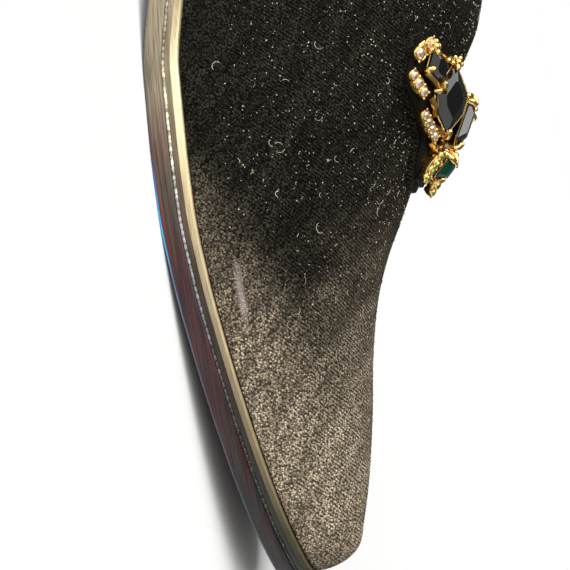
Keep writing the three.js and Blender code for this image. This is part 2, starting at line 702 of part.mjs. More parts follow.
add('heel_top_piece', heelTopPiece(), LIFT_RUBBER);
add('heel_block', heelBlock(), EDGE_LEATHER);
add('outsole', outsole(), EDGE_LEATHER);
add('midsole', midsole(), WELT_LEATHER);
add('insole', insole(), SOCK_LEATHER);
add('upper', upper(), VELVET);
add('collar_binding', collarBinding(), RIBBON);
add('ornament_pad', ornamentPad(), PAD_LEATHER);
add('ornament_casting', ornamentCasting(), GILT_METAL);
for (const row of STONES) {
  for (const side of sidesOf(row)) {
    const place = { '-1': 'outer', 1: 'inner' }[side];
    const mesh = new THREE.Mesh(stone(row, 0), BLACK_GLASS);
    mesh.name = row.paired ? `${row.name}_${place}` : row.name;
    mesh.applyMatrix4(clusterFrame(row, side));
    shoe.add(mesh);
  }
}

// The origin is the middle of the footprint, on the floor
const extent = new THREE.Box3().setFromObject(shoe, true);
const middle = extent.getCenter(new THREE.Vector3());
shoe.position.set(-middle.x, -middle.y, -extent.min.z);

const group = new THREE.Group();
group.add(shoe);
export default group;
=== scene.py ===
import math

import bmesh
import bpy
import numpy as np
from mathutils import Matrix, Vector


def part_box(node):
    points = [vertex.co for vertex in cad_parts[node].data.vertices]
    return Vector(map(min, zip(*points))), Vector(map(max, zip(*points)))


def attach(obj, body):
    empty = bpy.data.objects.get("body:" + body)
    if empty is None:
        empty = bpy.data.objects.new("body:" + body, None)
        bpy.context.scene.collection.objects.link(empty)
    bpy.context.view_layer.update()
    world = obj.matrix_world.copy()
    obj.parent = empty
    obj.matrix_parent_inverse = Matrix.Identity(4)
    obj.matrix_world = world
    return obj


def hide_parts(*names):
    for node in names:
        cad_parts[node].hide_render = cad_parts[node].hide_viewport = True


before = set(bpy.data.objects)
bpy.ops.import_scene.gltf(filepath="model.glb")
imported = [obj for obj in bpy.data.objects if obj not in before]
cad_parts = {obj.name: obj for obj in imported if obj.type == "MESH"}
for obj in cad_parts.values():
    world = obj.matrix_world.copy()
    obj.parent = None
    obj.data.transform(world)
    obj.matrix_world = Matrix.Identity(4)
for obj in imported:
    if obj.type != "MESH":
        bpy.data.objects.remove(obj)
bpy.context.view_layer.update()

# Upper
# One shell of black silk velvet on stiffener and a leather lining, cut in one piece, pulled over
# a pointed last and folded in under its feather line. The sizes and tables are those of the last.
LENGTH = 262.0
BALL_WIDTH = 79.0
CREST_HEIGHT = 64.0
TOE_SPRING = 10.0
HEEL_HEIGHT = 18.0
HEEL_LEAN = 4.5
HEEL_BULGE_HEIGHT = 18.0
LEAN_START = 0.75
OUTSOLE_THICKNESS = 4.6
MIDSOLE_THICKNESS = 2.9
FIT = 0.3
SOLE_TOP = OUTSOLE_THICKNESS + FIT + MIDSOLE_THICKNESS
WALL = 1.8
THROAT_BACK = 139.0
SIDE_HEIGHT = 59.0
SIDE_BACK = 196.0
BACK_HEIGHT = 82.0
COLLAR_SWEEP = 2.2
BINDING_HEIGHT = 4.5

PLAN_COLUMNS = ("at", "outer", "inner", "ridge", "proud")
PLAN = [
    (0, 0, 0, 0, 1),
    (0.019, 0.12, 0.114, 0, 1),
    (0.038, 0.172, 0.158, 0, 1),
    (0.076, 0.252, 0.234, -0.005, 1),
    (0.134, 0.346, 0.319, -0.01, 1),
    (0.191, 0.414, 0.386, -0.013, 1),
    (0.248, 0.467, 0.443, -0.013, 1),
    (0.305, 0.505, 0.477, -0.013, 1),
    (0.363, 0.523, 0.476, -0.013, 1),
    (0.42, 0.52, 0.443, -0.013, 1),
    (0.477, 0.505, 0.399, -0.015, 1),
    (0.553, 0.468, 0.354, -0.02, 0.95),
    (0.63, 0.432, 0.329, -0.025, 0.8),
    (0.706, 0.406, 0.306, -0.03, 0.6),
    (0.775, 0.396, 0.305, -0.035, 0.5),
    (0.847, 0.395, 0.315, -0.038, 0.45),
    (0.893, 0.391, 0.315, -0.038, 0.45),
    (0.931, 0.37, 0.294, -0.038, 0.45),
    (0.962, 0.309, 0.233, -0.038, 0.45),
    (0.985, 0.22, 0.144, -0.038, 0.45),
    (1, 0.038, -0.038, -0.038, 0.45),
]
PROFILE_COLUMNS = ("at", "crest", "spring", "pitch", "full")
PROFILE = [
    (0, 0, 1, 0, 2.1),
    (0.019, 0.178, 0.87, 0, 2.1),
    (0.038, 0.217, 0.77, 0, 2.1),
    (0.076, 0.28, 0.61, 0, 2.1),
    (0.134, 0.352, 0.41, 0, 2.1),
    (0.191, 0.413, 0.23, 0, 2.05),
    (0.248, 0.492, 0.08, 0, 2),
    (0.305, 0.613, 0, 0, 1.95),
    (0.363, 0.739, 0, 0, 1.9),
    (0.42, 0.873, 0, 0, 1.9),
    (0.477, 0.98, 0, 0.1, 1.9),
    (0.553, 1.01, 0, 0.33, 2),
    (0.63, 1.03, 0, 0.58, 2.1),
    (0.706, 1.06, 0, 0.83, 2.2),
    (0.775, 1.1, 0, 1, 2.3),
    (0.847, 1.17, 0, 1, 2.3),
    (0.893, 1.21, 0, 1, 2.3),
    (0.931, 1.24, 0, 1, 2.3),
    (0.962, 1.26, 0, 1, 2.3),
    (0.985, 1.28, 0, 1, 2.3),
    (1, 1.3, 0, 1, 2.3),
]


def turn_of(share):
    return np.arccos(1 - 2 * np.clip(share, 0, 1)) / np.pi


def share_of(turn):
    return (1 - np.cos(np.pi * np.clip(turn, 0, 1))) / 2


def through_rows(rows, columns, name):
    """Smooth curve through one column of a table, with no overshoot between its rows"""
    at = turn_of(np.array([row[0] for row in rows], float))
    value = np.array([row[columns.index(name)] for row in rows], float)
    width = np.diff(at)
    slope = np.diff(value) / width
    tangent = np.zeros(len(rows))
    tangent[0], tangent[-1] = slope[0], slope[-1]
    for i in range(1, len(rows) - 1):
        if slope[i - 1] * slope[i] > 0:
            before = 2 * width[i] + width[i - 1]
            after = width[i] + 2 * width[i - 1]
            tangent[i] = (before + after) / (before / slope[i - 1] + after / slope[i])

    def curve(share):
        turn = turn_of(np.asarray(share, float))
        i = np.clip(np.searchsorted(at, turn, side="right") - 1, 0, len(rows) - 2)
        k = (turn - at[i]) / width[i]
        rise = value[i + 1] - value[i]
        bend = tangent[i] * width[i]
        curl = tangent[i + 1] * width[i]
        return value[i] + k * (bend + k * (3 * rise - 2 * bend - curl + k * (bend + curl - 2 * rise)))

    return curve


outer, inner, ridge, proud = (through_rows(PLAN, PLAN_COLUMNS, name) for name in PLAN_COLUMNS[1:])
crest, spring, pitch, full = (
    through_rows(PROFILE, PROFILE_COLUMNS, name) for name in PROFILE_COLUMNS[1:])


def underside(share):
    return TOE_SPRING * spring(share) + HEEL_HEIGHT * pitch(share)


def feather_height(share):
    return underside(share) + SOLE_TOP + FIT


def smooth_step(value, low, high):
    k = np.clip((value - low) / (high - low), 0, 1)
    return k * k * (3 - 2 * k)


def lean_at(share, up):
    """How far the back leans forward at a height above the feather line"""
    span = BACK_HEIGHT - HEEL_HEIGHT - SOLE_TOP - HEEL_BULGE_HEIGHT
    lean = HEEL_LEAN * ((up - HEEL_BULGE_HEIGHT) / span) ** 2
    return smooth_step(share, LEAN_START, 1) * np.minimum(lean, 2 * HEEL_LEAN)


def on_last(share, angle):
    """Points on the outside: angle 0 is the outer feather line, half a turn the inner one"""
    power = 2 / full(share)
    side = np.where(angle < np.pi / 2, -(outer(share) + ridge(share)), inner(share) - ridge(share))
    across = ridge(share) + side * np.abs(np.cos(angle)) ** power
    up = CREST_HEIGHT * crest(share) * np.abs(np.sin(angle)) ** power
    along = lean_at(share, up) - LENGTH * share
    return np.stack(np.broadcast_arrays(along, BALL_WIDTH * across, feather_height(share) + up), -1)


TURN_STEP = 0.004
ANGLE_STEP = 0.02


def normal_on_last(share, angle):
    share, angle = np.broadcast_arrays(np.asarray(share, float), np.asarray(angle, float))
    turn = turn_of(share)
    ahead = on_last(share_of(turn - TURN_STEP), angle)
    behind = on_last(share_of(turn + TURN_STEP), angle)
    low = on_last(share, np.maximum(angle - ANGLE_STEP, 0))
    high = on_last(share, np.minimum(angle + ANGLE_STEP, np.pi))
    normal = np.cross(high - low, behind - ahead)
    normal[share >= 1, 1] = 0
    size = np.linalg.norm(normal, axis=-1, keepdims=True)
    normal = normal / np.maximum(size, 1e-9)
    normal[share <= 0] = (1, 0, 0)
    return normal


def collar_height(share):
    throat = THROAT_BACK / LENGTH
    side = SIDE_BACK / LENGTH
    throat_height = feather_height(throat) + CREST_HEIGHT * crest(throat)
    ahead = np.clip((side - share) / (side - throat), 0, None)
    falling = SIDE_HEIGHT + (throat_height - SIDE_HEIGHT) * ahead ** COLLAR_SWEEP
    rising = SIDE_HEIGHT + (BACK_HEIGHT - SIDE_HEIGHT) * smooth_step(share, side, 1)
    return np.where(share < side, falling, rising)


def throat_share(sink):
    """Share at which the line of the collar, lowered by a sink, meets the ridge"""
    low, high = 0.0, SIDE_BACK / LENGTH
    for _ in range(40):
        middle = (low + high) / 2
        ridge_height = feather_height(middle) + CREST_HEIGHT * crest(middle)
        if ridge_height > collar_height(middle) - sink:
            high = middle
        else:
            low = middle
    return high


def collar_angle(share, sink):
    """Angle on the last at which the lowered line of the collar runs, on the outer side"""
    up = collar_height(share) - sink - feather_height(share)
    level = np.clip(up / (CREST_HEIGHT * np.maximum(crest(share), 1e-6)), 0, 1)
    return np.arcsin(level ** (full(share) / 2))


MM = 0.001
INNER_REACH = 0.477
WELD = 0.003
_, upper_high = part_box("upper")
# From the tip of the last on the floor to the frame's origin
SHOE_PLACE = np.array([upper_high.x / MM, upper_high.y / MM - BALL_WIDTH * INNER_REACH, 0.0])


def piece_from(name, points, faces, materials, indices=None, sharp=None):
    """One object from points in the last's millimetres, its doubled points joined"""
    mesh = bpy.data.meshes.new(name)
    mesh.from_pydata(((np.asarray(points) + SHOE_PLACE) * MM).tolist(), [], faces)
    for material in materials:
        mesh.materials.append(material)
    if indices is not None:
        mesh.polygons.foreach_set("material_index", indices)
    work = bmesh.new()
    work.from_mesh(mesh)
    bmesh.ops.remove_doubles(work, verts=work.verts, dist=WELD * MM)
    bmesh.ops.recalc_face_normals(work, faces=work.faces)
    work.to_mesh(mesh)
    work.free()
    mesh.polygons.foreach_set("use_smooth", [True] * len(mesh.polygons))
    if sharp:
        mesh.set_sharp_from_angle(angle=math.radians(sharp))
    piece = bpy.data.objects.new(name, mesh)
    bpy.context.scene.collection.objects.link(piece)
    return piece


def grid_faces(rows, columns, first=0, closed=False):
    """Quads between the neighbours of a grid of points, stored row by row"""
    index = np.arange(rows * columns).reshape(rows, columns) + first
    if closed:
        index = np.concatenate([index, index[:, :1]], 1)
    corners = (index[:-1, :-1], index[:-1, 1:], index[1:, 1:], index[1:, :-1])
    return np.stack(corners, -1).reshape(-1, 4).tolist()


def linear(code):
    """Scene-linear colour of an sRGB hex value"""
    parts = [int(code[i:i + 2], 16) / 255 for i in (1, 3, 5)]
    return (*(p / 12.92 if p <= 0.04045 else ((p + 0.055) / 1.055) ** 2.4 for p in parts), 1.0)


def add_node(material, kind, inputs=(), **settings):
    """One node with its settings; each input takes a value or another node's output"""
    made = material.node_tree.nodes.new("ShaderNode" + kind)
    for name, value in settings.items():
        setattr(made, name, value)
    for socket, value in dict(inputs).items():
        if isinstance(value, bpy.types.NodeSocket):
            material.node_tree.links.new(value, made.inputs[socket])
        else:
            made.inputs[socket].default_value = value
    return made


def new_material(name):
    material = bpy.data.materials.new(name)
    material.use_nodes = True
    material.node_tree.nodes.clear()
    return material


def finish_material(material, shader):
    output = add_node(material, "OutputMaterial")
    material.node_tree.links.new(shader.outputs[0], output.inputs["Surface"])
    return material


def millimetres(material):
    """The place of a shaded point in the shoe's frame, in millimetres"""
    place = add_node(material, "TexCoord").outputs["Object"]
    scaled = add_node(material, "VectorMath", {0: place, 1: (1 / MM,) * 3}, operation="MULTIPLY")
    return scaled.outputs[0]


def two_shades(name, shades, drift, finish, relief=None, pores=None):
    """Material that drifts between two shades, after a noise of a scale per millimetre and a detail.
    Its relief has a strength and a depth in millimetres, and follows pores of a scale per
    millimetre, or else the drift"""
    made = new_material(name)
    place = millimetres(made)
    scale, detail = drift
    cloud = add_node(made, "TexNoise", {"Vector": place, "Scale": scale, "Detail": detail})
    colour = add_node(made, "MixRGB", {
        "Fac": cloud.outputs["Fac"], "Color1": linear(shades[0]), "Color2": linear(shades[1])})
    inputs = {"Base Color": colour.outputs[0], **finish}
    if relief:
        height = cloud.outputs["Fac"]
        if pores:
            grain = add_node(made, "TexVoronoi", {"Vector": place, "Scale": pores},
                             feature="DISTANCE_TO_EDGE")
            height = grain.outputs["Distance"]
        strength, depth = relief
        bump = add_node(made, "Bump", {"Height": height, "Strength": strength, "Distance": depth * MM})
        inputs["Normal"] = bump.outputs[0]
    return finish_material(made, add_node(made, "BsdfPrincipled", inputs))


RIB_PITCH = 0.75
RIB_WAY = (0.77, -0.12, -0.63)
RIB_WANDER = 1.5
RIBS_FAINT_AT = 14.0
RIBS_CLEAR_AT = 34.0
TUFT_SIZE = 0.48  # real tufts are finer still; drawn coarser so that they show
DULLEST_TUFT = 0.35
BRIGHTEST_TUFT = 1.1
TUFT_CONTRAST = 1.4
BRUSH_WAY = (0.64, 0.15, 0.75)
BRUSH_DRAWN = 0.15
FAINT_STROKE = 0.66
FULL_STROKE = 1.2
# How far ahead of the shoe's middle the painted sheen of the nap starts and is full, and how that
# line runs: back up the sides, ahead again on the ridge, and with an uneven edge
NAP_SHEEN_FROM = 30.0
NAP_SHEEN_FULL_AT = 100.0
NAP_SHEEN_SIDE_SLANT = -1.5
NAP_SHEEN_RIDGE_HEIGHT = 27.0
NAP_SHEEN_RIDGE_SLANT = 2.5
NAP_SHEEN_UNEVEN = 24.0
# Where the pile grows darker towards the tip, and how dark it gets there
TIP_DARKER_FROM = 108.0
TIP_DARKER_TO = 131.0
TIP_DARKER_TONE = 0.72
STREAK_MIDDLE = (70.5, -33.0, 15.0)
STREAK_REACH = (8.0, 4.0, 0.9)
STREAK_COVER = 0.27


def silk_velvet(name):
    """Cut silk pile in round tufts on slanting ribs: black behind, with a painted sheen that grows
    towards the toe, where some tufts carry painted glints as warm grey specks and the nap lies in
    strokes"""
    made = new_material(name)
    place = millimetres(made)
    spot = add_node(made, "SeparateXYZ", {"Vector": place})

    # Ribs, clearer high on the vamp, where their added brightness is a painted glint along the ridge
    wander = add_node(made, "TexNoise", {"Vector": place, "Scale": 0.15, "Detail": 2.0})
    slant = add_node(made, "VectorMath", {0: place, 1: RIB_WAY}, operation="DOT_PRODUCT")
    bent = add_node(made, "Math", {
        0: wander.outputs["Fac"], 1: RIB_WANDER, 2: slant.outputs["Value"]}, operation="MULTIPLY_ADD")
    phase = add_node(made, "Math", {0: bent.outputs[0], 1: 2 * math.pi / RIB_PITCH},
                     operation="MULTIPLY")
    wave = add_node(made, "Math", {0: phase.outputs[0]}, operation="SINE")
    clear = add_node(made, "MapRange", {
        "Value": spot.outputs["Z"], "From Min": RIBS_FAINT_AT, "From Max": RIBS_CLEAR_AT,
        "To Min": 0.05, "To Max": 0.2})
    rib = add_node(made, "Math", {0: wave.outputs[0], 1: clear.outputs[0]}, operation="MULTIPLY")

    # Tufts, each with its own painted glint, in strokes of the brush
    tuft = add_node(made, "TexVoronoi", {"Vector": place, "Scale": 1 / TUFT_SIZE, "Randomness": 0.85})
    lying = add_node(made, "SeparateXYZ", {"Vector": tuft.outputs["Color"]})
    glint = add_node(made, "MapRange", {
        "Value": lying.outputs["X"], "To Min": DULLEST_TUFT, "To Max": BRIGHTEST_TUFT})
    round_top = add_node(made, "MapRange", {
        "Value": tuft.outputs["Distance"], "From Min": 0.8, "From Max": 0.15})
    top = add_node(made, "Math", {0: round_top.outputs[0], 1: glint.outputs[0], 2: rib.outputs[0]},
                   operation="MULTIPLY_ADD")
    raised = add_node(made, "Math", {0: top.outputs[0], 1: 0.0}, operation="MAXIMUM")
    across = add_node(made, "VectorMath", {0: place, 1: BRUSH_WAY}, operation="DOT_PRODUCT")
    along = add_node(made, "Math", {0: slant.outputs["Value"], 1: BRUSH_DRAWN}, operation="MULTIPLY")
    swept = add_node(made, "CombineXYZ", {"X": across.outputs["Value"], "Y": along.outputs[0]})
    marks = add_node(made, "TexNoise", {"Vector": swept.outputs[0], "Scale": 0.3, "Detail": 2.0})
    stroke = add_node(made, "MapRange", {
        "Value": marks.outputs["Fac"], "From Min": 0.35, "From Max": 0.65,
        "To Min": FAINT_STROKE, "To Max": FULL_STROKE})
    tip_darker = add_node(made, "MapRange", {
        "Value": spot.outputs["X"], "From Min": TIP_DARKER_FROM, "From Max": TIP_DARKER_TO,
        "To Min": 1.0, "To Max": TIP_DARKER_TONE})
    laid = add_node(made, "Math", {0: stroke.outputs[0], 1: tip_darker.outputs[0]}, operation="MULTIPLY")
    stroked = add_node(made, "Math", {0: raised.outputs[0], 1: laid.outputs[0]}, operation="MULTIPLY")
    bright = add_node(made, "Math", {0: stroked.outputs[0], 1: TUFT_CONTRAST}, operation="POWER",
                      use_clamp=True)

    # Painted sheen: how far the nap goes from black to a lit warm grey at each place
    blotch = add_node(made, "TexNoise", {"Vector": place, "Scale": 0.09, "Detail": 3.0})
    lower = add_node(made, "Math", {0: spot.outputs["Z"], 1: NAP_SHEEN_SIDE_SLANT, 2: spot.outputs["X"]},
                     operation="MULTIPLY_ADD")
    past = add_node(made, "Math", {0: spot.outputs["Z"], 1: NAP_SHEEN_RIDGE_HEIGHT}, operation="SUBTRACT")
    over = add_node(made, "Math", {0: past.outputs[0], 1: 0.0}, operation="MAXIMUM")
    sheen_line = add_node(made, "Math", {0: over.outputs[0], 1: NAP_SHEEN_RIDGE_SLANT, 2: lower.outputs[0]},
                         operation="MULTIPLY_ADD")
    uneven = add_node(made, "Math", {
        0: blotch.outputs["Fac"], 1: NAP_SHEEN_UNEVEN, 2: sheen_line.outputs[0]}, operation="MULTIPLY_ADD")
    nap_sheen = add_node(made, "MapRange", {
        "Value": uneven.outputs[0], "From Min": NAP_SHEEN_FROM, "From Max": NAP_SHEEN_FULL_AT},
        interpolation_type="SMOOTHSTEP")
    black = add_node(made, "MixRGB", {
        "Fac": bright.outputs[0], "Color1": linear("#040403"), "Color2": linear("#3e3a31")})
    # The lit warm grey of the painted sheen
    grey = add_node(made, "MixRGB", {
        "Fac": bright.outputs[0], "Color1": linear("#40372b"), "Color2": linear("#ffeaca")})
    nap = add_node(made, "MixRGB", {
        "Fac": nap_sheen.outputs[0], "Color1": black.outputs[0], "Color2": grey.outputs[0]})

    # A pale streak where the pile was crushed beside the welt
    aside = add_node(made, "VectorMath", {0: place, 1: STREAK_MIDDLE}, operation="SUBTRACT")
    shrunk = add_node(made, "VectorMath", {0: aside.outputs[0], 1: STREAK_REACH}, operation="DIVIDE")
    away = add_node(made, "VectorMath", {0: shrunk.outputs[0]}, operation="LENGTH")
    crushed = add_node(made, "MapRange", {
        "Value": away.outputs["Value"], "From Min": 1.2, "From Max": 0.3, "To Max": STREAK_COVER})
    streaked = add_node(made, "MixRGB", {
        "Fac": crushed.outputs[0], "Color1": nap.outputs[0], "Color2": linear("#e3d0ca")})

    height = add_node(made, "Math", {0: rib.outputs[0], 1: round_top.outputs[0]}, operation="ADD")
    bump = add_node(made, "Bump", {"Height": height.outputs[0], "Strength": 0.6, "Distance": 0.2 * MM})
    shader = add_node(made, "BsdfPrincipled", {
        "Base Color": streaked.outputs[0], "Roughness": 0.9, "Specular IOR Level": 0.05,
        "Sheen Weight": 0.06, "Sheen Roughness": 0.4, "Sheen Tint": linear("#b8aa92"),
        "Normal": bump.outputs[0]})
    return finish_material(made, shader)


# Thin sheepskin, drum dyed and buffed: a soft tan with a fine even grain
lining_leather = two_shades("lining_leather", ("#8f7350", "#b1936b"), (0.06, 4.0), {"Roughness": 0.55},
                            relief=(0.25, 0.1), pores=1.4)

# Creases that the hand feels: back from the tip and angle over the last at the middle, reach
# along and over, and depth; a trough has a positive depth
CREASES = [
    (62.0, 52.0, 3.2, 16.0, 0.22),
    (67.5, 60.0, 2.6, 22.0, -0.16),
    (74.0, 118.0, 3.0, 18.0, 0.2),
    (150.0, 30.0, 5.0, 14.0, 0.35),
    (158.0, 34.0, 4.5, 14.0, -0.22),
    (152.0, 150.0, 5.0, 14.0, 0.35),
    (214.0, 22.0, 6.0, 10.0, 0.3),
    (214.0, 158.0, 6.0, 10.0, 0.3),
]


def crease_depth(share, angle):
    depth = 0
    for back, over, along, reach, deep in CREASES:
        a = (share * LENGTH - back) / along
        b = (np.degrees(angle) - over) / reach
        depth = depth + deep * np.exp(-a * a - b * b)
    return depth


STATIONS_AHEAD = 170
STATIONS_BEHIND = 110
BEHIND_SPREAD = 1.5
ARCH_ROWS = 54


def upper_stations(sink):
    """Stations from tip to heel, with one exactly at the throat"""
    throat = turn_of(throat_share(sink))
    ahead = np.linspace(0, throat, STATIONS_AHEAD)
    behind = throat + (1 - throat) * np.linspace(0, 1, STATIONS_BEHIND) ** BEHIND_SPREAD
    return share_of(np.concatenate([ahead, behind[1:]]))


def upper_piece():
    sink = BINDING_HEIGHT + FIT
    share = upper_stations(sink)[:, None]
    top = np.where(share < throat_share(sink) + 1e-9, np.pi / 2, collar_angle(share, sink))
    climb = np.linspace(0, 1, ARCH_ROWS)[None, :]
    points, faces, indices = [], [], []
    rows, columns = len(share), ARCH_ROWS
    for angle in (climb * top, np.pi - climb * top):
        outside = on_last(share, angle)
        normal = normal_on_last(share, angle)
        first = len(points)
        skin = outside - crease_depth(share, angle)[..., None] * normal
        lining = outside - WALL * normal
        points.extend(skin.reshape(-1, 3).tolist())
        points.extend(lining.reshape(-1, 3).tolist())
        grid = grid_faces(rows, columns, first)
        faces += grid
        indices += [0] * len(grid)
        faces += grid_faces(rows, columns, first + rows * columns)
        indices += [1] * len(grid)
        within = rows * columns
        rim = [(i, 0) for i in range(rows - 1)]
        rim += [(i, columns - 1) for i in range(STATIONS_AHEAD - 1, rows - 1)]
        for i, j in rim:
            here = first + i * columns + j
            there = here + columns
            faces.append([here, there, there + within, here + within])
            indices.append(0)
    skins = [silk_velvet("silk_velvet"), lining_leather]
    return piece_from("velvet_upper", points, faces, skins, indices, sharp=40)


upper = upper_piece()
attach(upper, "root")
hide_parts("upper")

# Lint
# Cotton fluff and short curly fibres that settled on the velvet, thickest on its black stretch.
# Nothing fixes them but the pile that they are caught in.
LINT_SPECKS = 3800
LINT_FIBRES = 240
# Stretches of the last from tip to heel, as shares of its length, with their shares of the lint
LINT_REGIONS = [
    (0.08, 0.3, 0.15),
    (0.3, 0.6, 0.6),
    (0.6, 0.99, 0.25),
]
LINT_BELOW_BINDING = 1.0
LINT_LOWEST = 0.06
LINT_CLIMB = 0.8
LINT_ON_INNER_SIDE = 0.4
SPECK_RADIUS = (0.05, 0.19)
SPECK_RISES = (0.05, 0.1, 0.06)
SPECK_DRAWN_OUT = 0.8
FIBRE_BEND = (0.35, 1.3)
FIBRE_CURL = (0.8, 3.6)
FIBRE_RADIUS = (0.035, 0.07)
FIBRE_RISE = 0.12
chance = np.random.default_rng(7)


def joined(parts):
    """Points and faces of many small meshes as one"""
    points, faces = [], []
    for part_points, part_faces in parts:
        faces += [[i + len(points) for i in face] for face in part_faces]
        points += np.asarray(part_points).tolist()
    return points, faces


def tube(path, radii, sides):
    """Round bar along a path, with a radius at each of its points and flat ends"""
    path = np.asarray(path, float)
    way = np.gradient(path, axis=0)
    way /= np.linalg.norm(way, axis=1, keepdims=True)
    helper = np.eye(3)[np.argmin(np.abs(way).sum(0))]
    side = np.cross(way, helper)
    side /= np.linalg.norm(side, axis=1, keepdims=True)
    over = np.cross(side, way)
    turn = np.linspace(0, 2 * np.pi, sides, endpoint=False)
    around = np.cos(turn)[None, :, None] * side[:, None] + np.sin(turn)[None, :, None] * over[:, None]
    points = path[:, None] + np.broadcast_to(radii, len(path))[:, None, None] * around
    faces = grid_faces(len(path), sides, closed=True)
    faces += [list(range(sides)), list(range((len(path) - 1) * sides, len(path) * sides))]
    return points.reshape(-1, 3), faces


def lint_places(count):
    """Random places on the velvet below the collar, and the normals there"""
    region = chance.choice(len(LINT_REGIONS), count, p=[row[2] for row in LINT_REGIONS])
    start, end = (np.array([row[k] for row in LINT_REGIONS])[region] for k in (0, 1))
    share = chance.uniform(start, end)
    open_above = share > throat_share(BINDING_HEIGHT + FIT)
    top = np.where(open_above, collar_angle(share, BINDING_HEIGHT + LINT_BELOW_BINDING),
                   np.pi / 2)
    angle = top * chance.uniform(LINT_LOWEST, 1, count) ** LINT_CLIMB
    angle = np.where(chance.random(count) < LINT_ON_INNER_SIDE, np.pi - angle, angle)
    return zip(on_last(share, angle), normal_on_last(share, angle))


def lint_speck(spot, normal):
    """Short blunt tuft of fluff, half sunk in the pile and drawn out to one side"""
    size = chance.uniform(*SPECK_RADIUS)
    foot, middle, end = SPECK_RISES
    path = [spot + (foot - size) * normal, spot + middle * normal,
            spot + end * normal + size * chance.normal(0, SPECK_DRAWN_OUT, 3)]
    return tube(path, (0.5 * size, size, 0.4 * size), 4)


def lint_fibre(spot, normal):
    """Curled hair that lies on the pile"""
    side = np.cross(normal, chance.normal(0, 1, 3))
    side /= np.linalg.norm(side)
    over = np.cross(normal, side)
    reach = chance.uniform(*FIBRE_BEND)
    curl = np.linspace(0, chance.uniform(*FIBRE_CURL), 9)
    path = spot + reach * (np.sin(curl)[:, None] * side + (1 - np.cos(curl))[:, None] * over)
    return tube(path + FIBRE_RISE * normal, chance.uniform(*FIBRE_RADIUS), 4)


# Undyed cotton, matt, from dull brown in the pile to a warm cream on top
cotton_lint = two_shades("cotton_lint", ("#39362e", "#fff6dc"), (0.4, 1.0), {"Roughness": 0.9})
specks = [lint_speck(*place) for place in lint_places(LINT_SPECKS)]
fibres = [lint_fibre(*place) for place in lint_places(LINT_FIBRES)]
lint = piece_from("velvet_lint", *joined(specks + fibres), [cotton_lint])
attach(lint, "root")

# Collar binding
# Black grosgrain ribbon, ribbed across its length, folded over the raw edge of the collar and
# stitched through near its lower edge, inside and out.
BINDING_PROUD = 0.5
BINDING_TUCK = 0.3
BINDING_FOLD = 0.8
COLLAR_POINTS = 330
COLLAR_EVEN = 0.25
RIB_HEIGHT = 0.07


def collar_line(sink, depth):
    """Closed line round the collar, lowered by a sink and moved inwards by a depth"""
    first = turn_of(throat_share(sink))
    i = np.linspace(0, 1, COLLAR_POINTS + 1)
    share = share_of(first + (1 - first) * (COLLAR_EVEN * i + (1 - COLLAR_EVEN) * i ** 2))
    share[-1] = 1
    angle = collar_angle(share, sink)
    angle[0] = np.pi / 2
    near = on_last(share, angle) - depth * normal_on_last(share, angle)
    far = on_last(share, np.pi - angle) - depth * normal_on_last(share, np.pi - angle)
    return np.concatenate([near, far[1:-1][::-1]])


def binding_piece():
    """The folded ribbon, through closed lines at a sink and a depth and with a turn round its fold"""
    middle = WALL / 2
    reach = middle + BINDING_PROUD
    above = BINDING_HEIGHT - BINDING_TUCK
    profile = [(BINDING_HEIGHT, -BINDING_PROUD / 2, 0.0), (above, -BINDING_PROUD, 0.0)]
    for turn in np.linspace(0, np.pi, 11):
        sink = BINDING_FOLD * reach * (1 - math.sin(turn))
        profile.append((sink, middle - reach * math.cos(turn), turn))
    profile.append((above, WALL + BINDING_PROUD, np.pi))
    profile.append((BINDING_HEIGHT, WALL + BINDING_PROUD / 2, np.pi))
    rings = []
    for sink, depth, turn in profile:
        valley = collar_line(sink, depth)
        lowered = RIB_HEIGHT * (1 - math.sin(turn)) / 2
        crown = collar_line(sink + lowered, depth - RIB_HEIGHT * math.cos(turn))
        on_rib = (np.arange(len(valley)) % 2)[:, None]
        rings.append(np.where(on_rib, crown, valley))
    points = np.concatenate(rings + rings[:1])
    faces = grid_faces(len(profile) + 1, 2 * COLLAR_POINTS, closed=True)
    return piece_from("ribbon_binding", points, faces, [grosgrain_ribbon], sharp=60)


# Woven viscose with raised ribs across it: a dull black with a slight silk gloss
grosgrain_ribbon = two_shades(
    "grosgrain_ribbon", ("#070707", "#1c1b1c"), (4.0, 3.0),
    {"Roughness": 0.62, "Specular IOR Level": 0.3, "Sheen Weight": 0.1, "Sheen Roughness": 0.4},
    relief=(0.4, 0.08))

binding = binding_piece()
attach(binding, "root")
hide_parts("collar_binding")

STITCH_PITCH = 2.4
STITCH_LENGTH = 1.9
STITCH_RADIUS = 0.16
STITCH_LINE_RISE = 1.0
LOOK_AHEAD = 0.2
BLUNT_END = 0.02
BEAD_FULLNESS = 0.6


def walk(line, pitch_length):
    """Points at even steps round a closed line, each with the direction of travel there"""
    ring = np.concatenate([line, line[:1]])
    run = np.concatenate([[0], np.cumsum(np.linalg.norm(np.diff(ring, axis=0), axis=1))])
    count = int(run[-1] // pitch_length)
    at = np.arange(count) * run[-1] / count
    spots, ahead = (
        np.stack([np.interp(place, run, ring[:, k]) for k in range(3)], 1)
        for place in (at, np.minimum(at + LOOK_AHEAD, run[-1])))
    way = ahead - spots
    return spots, way / np.linalg.norm(way, axis=1, keepdims=True)


def capsules(spots, ways, long, radius, sides=8, rows=6):
    """Joined long beads, each centred on a spot and lying along its way"""
    arc = np.linspace(0, np.pi, rows)
    radii = radius * np.maximum(np.sin(arc), BLUNT_END) ** BEAD_FULLNESS
    reach = (long / 2) * np.cos(arc)[:, None]
    return joined([tube(spot - reach * way, radii, sides) for spot, way in zip(spots, ways)])


# Twisted black silk sewing thread with a soft gloss
silk_thread = two_shades("silk_thread", ("#111112", "#37353a"), (3.0, 1.0), {"Roughness": 0.45})

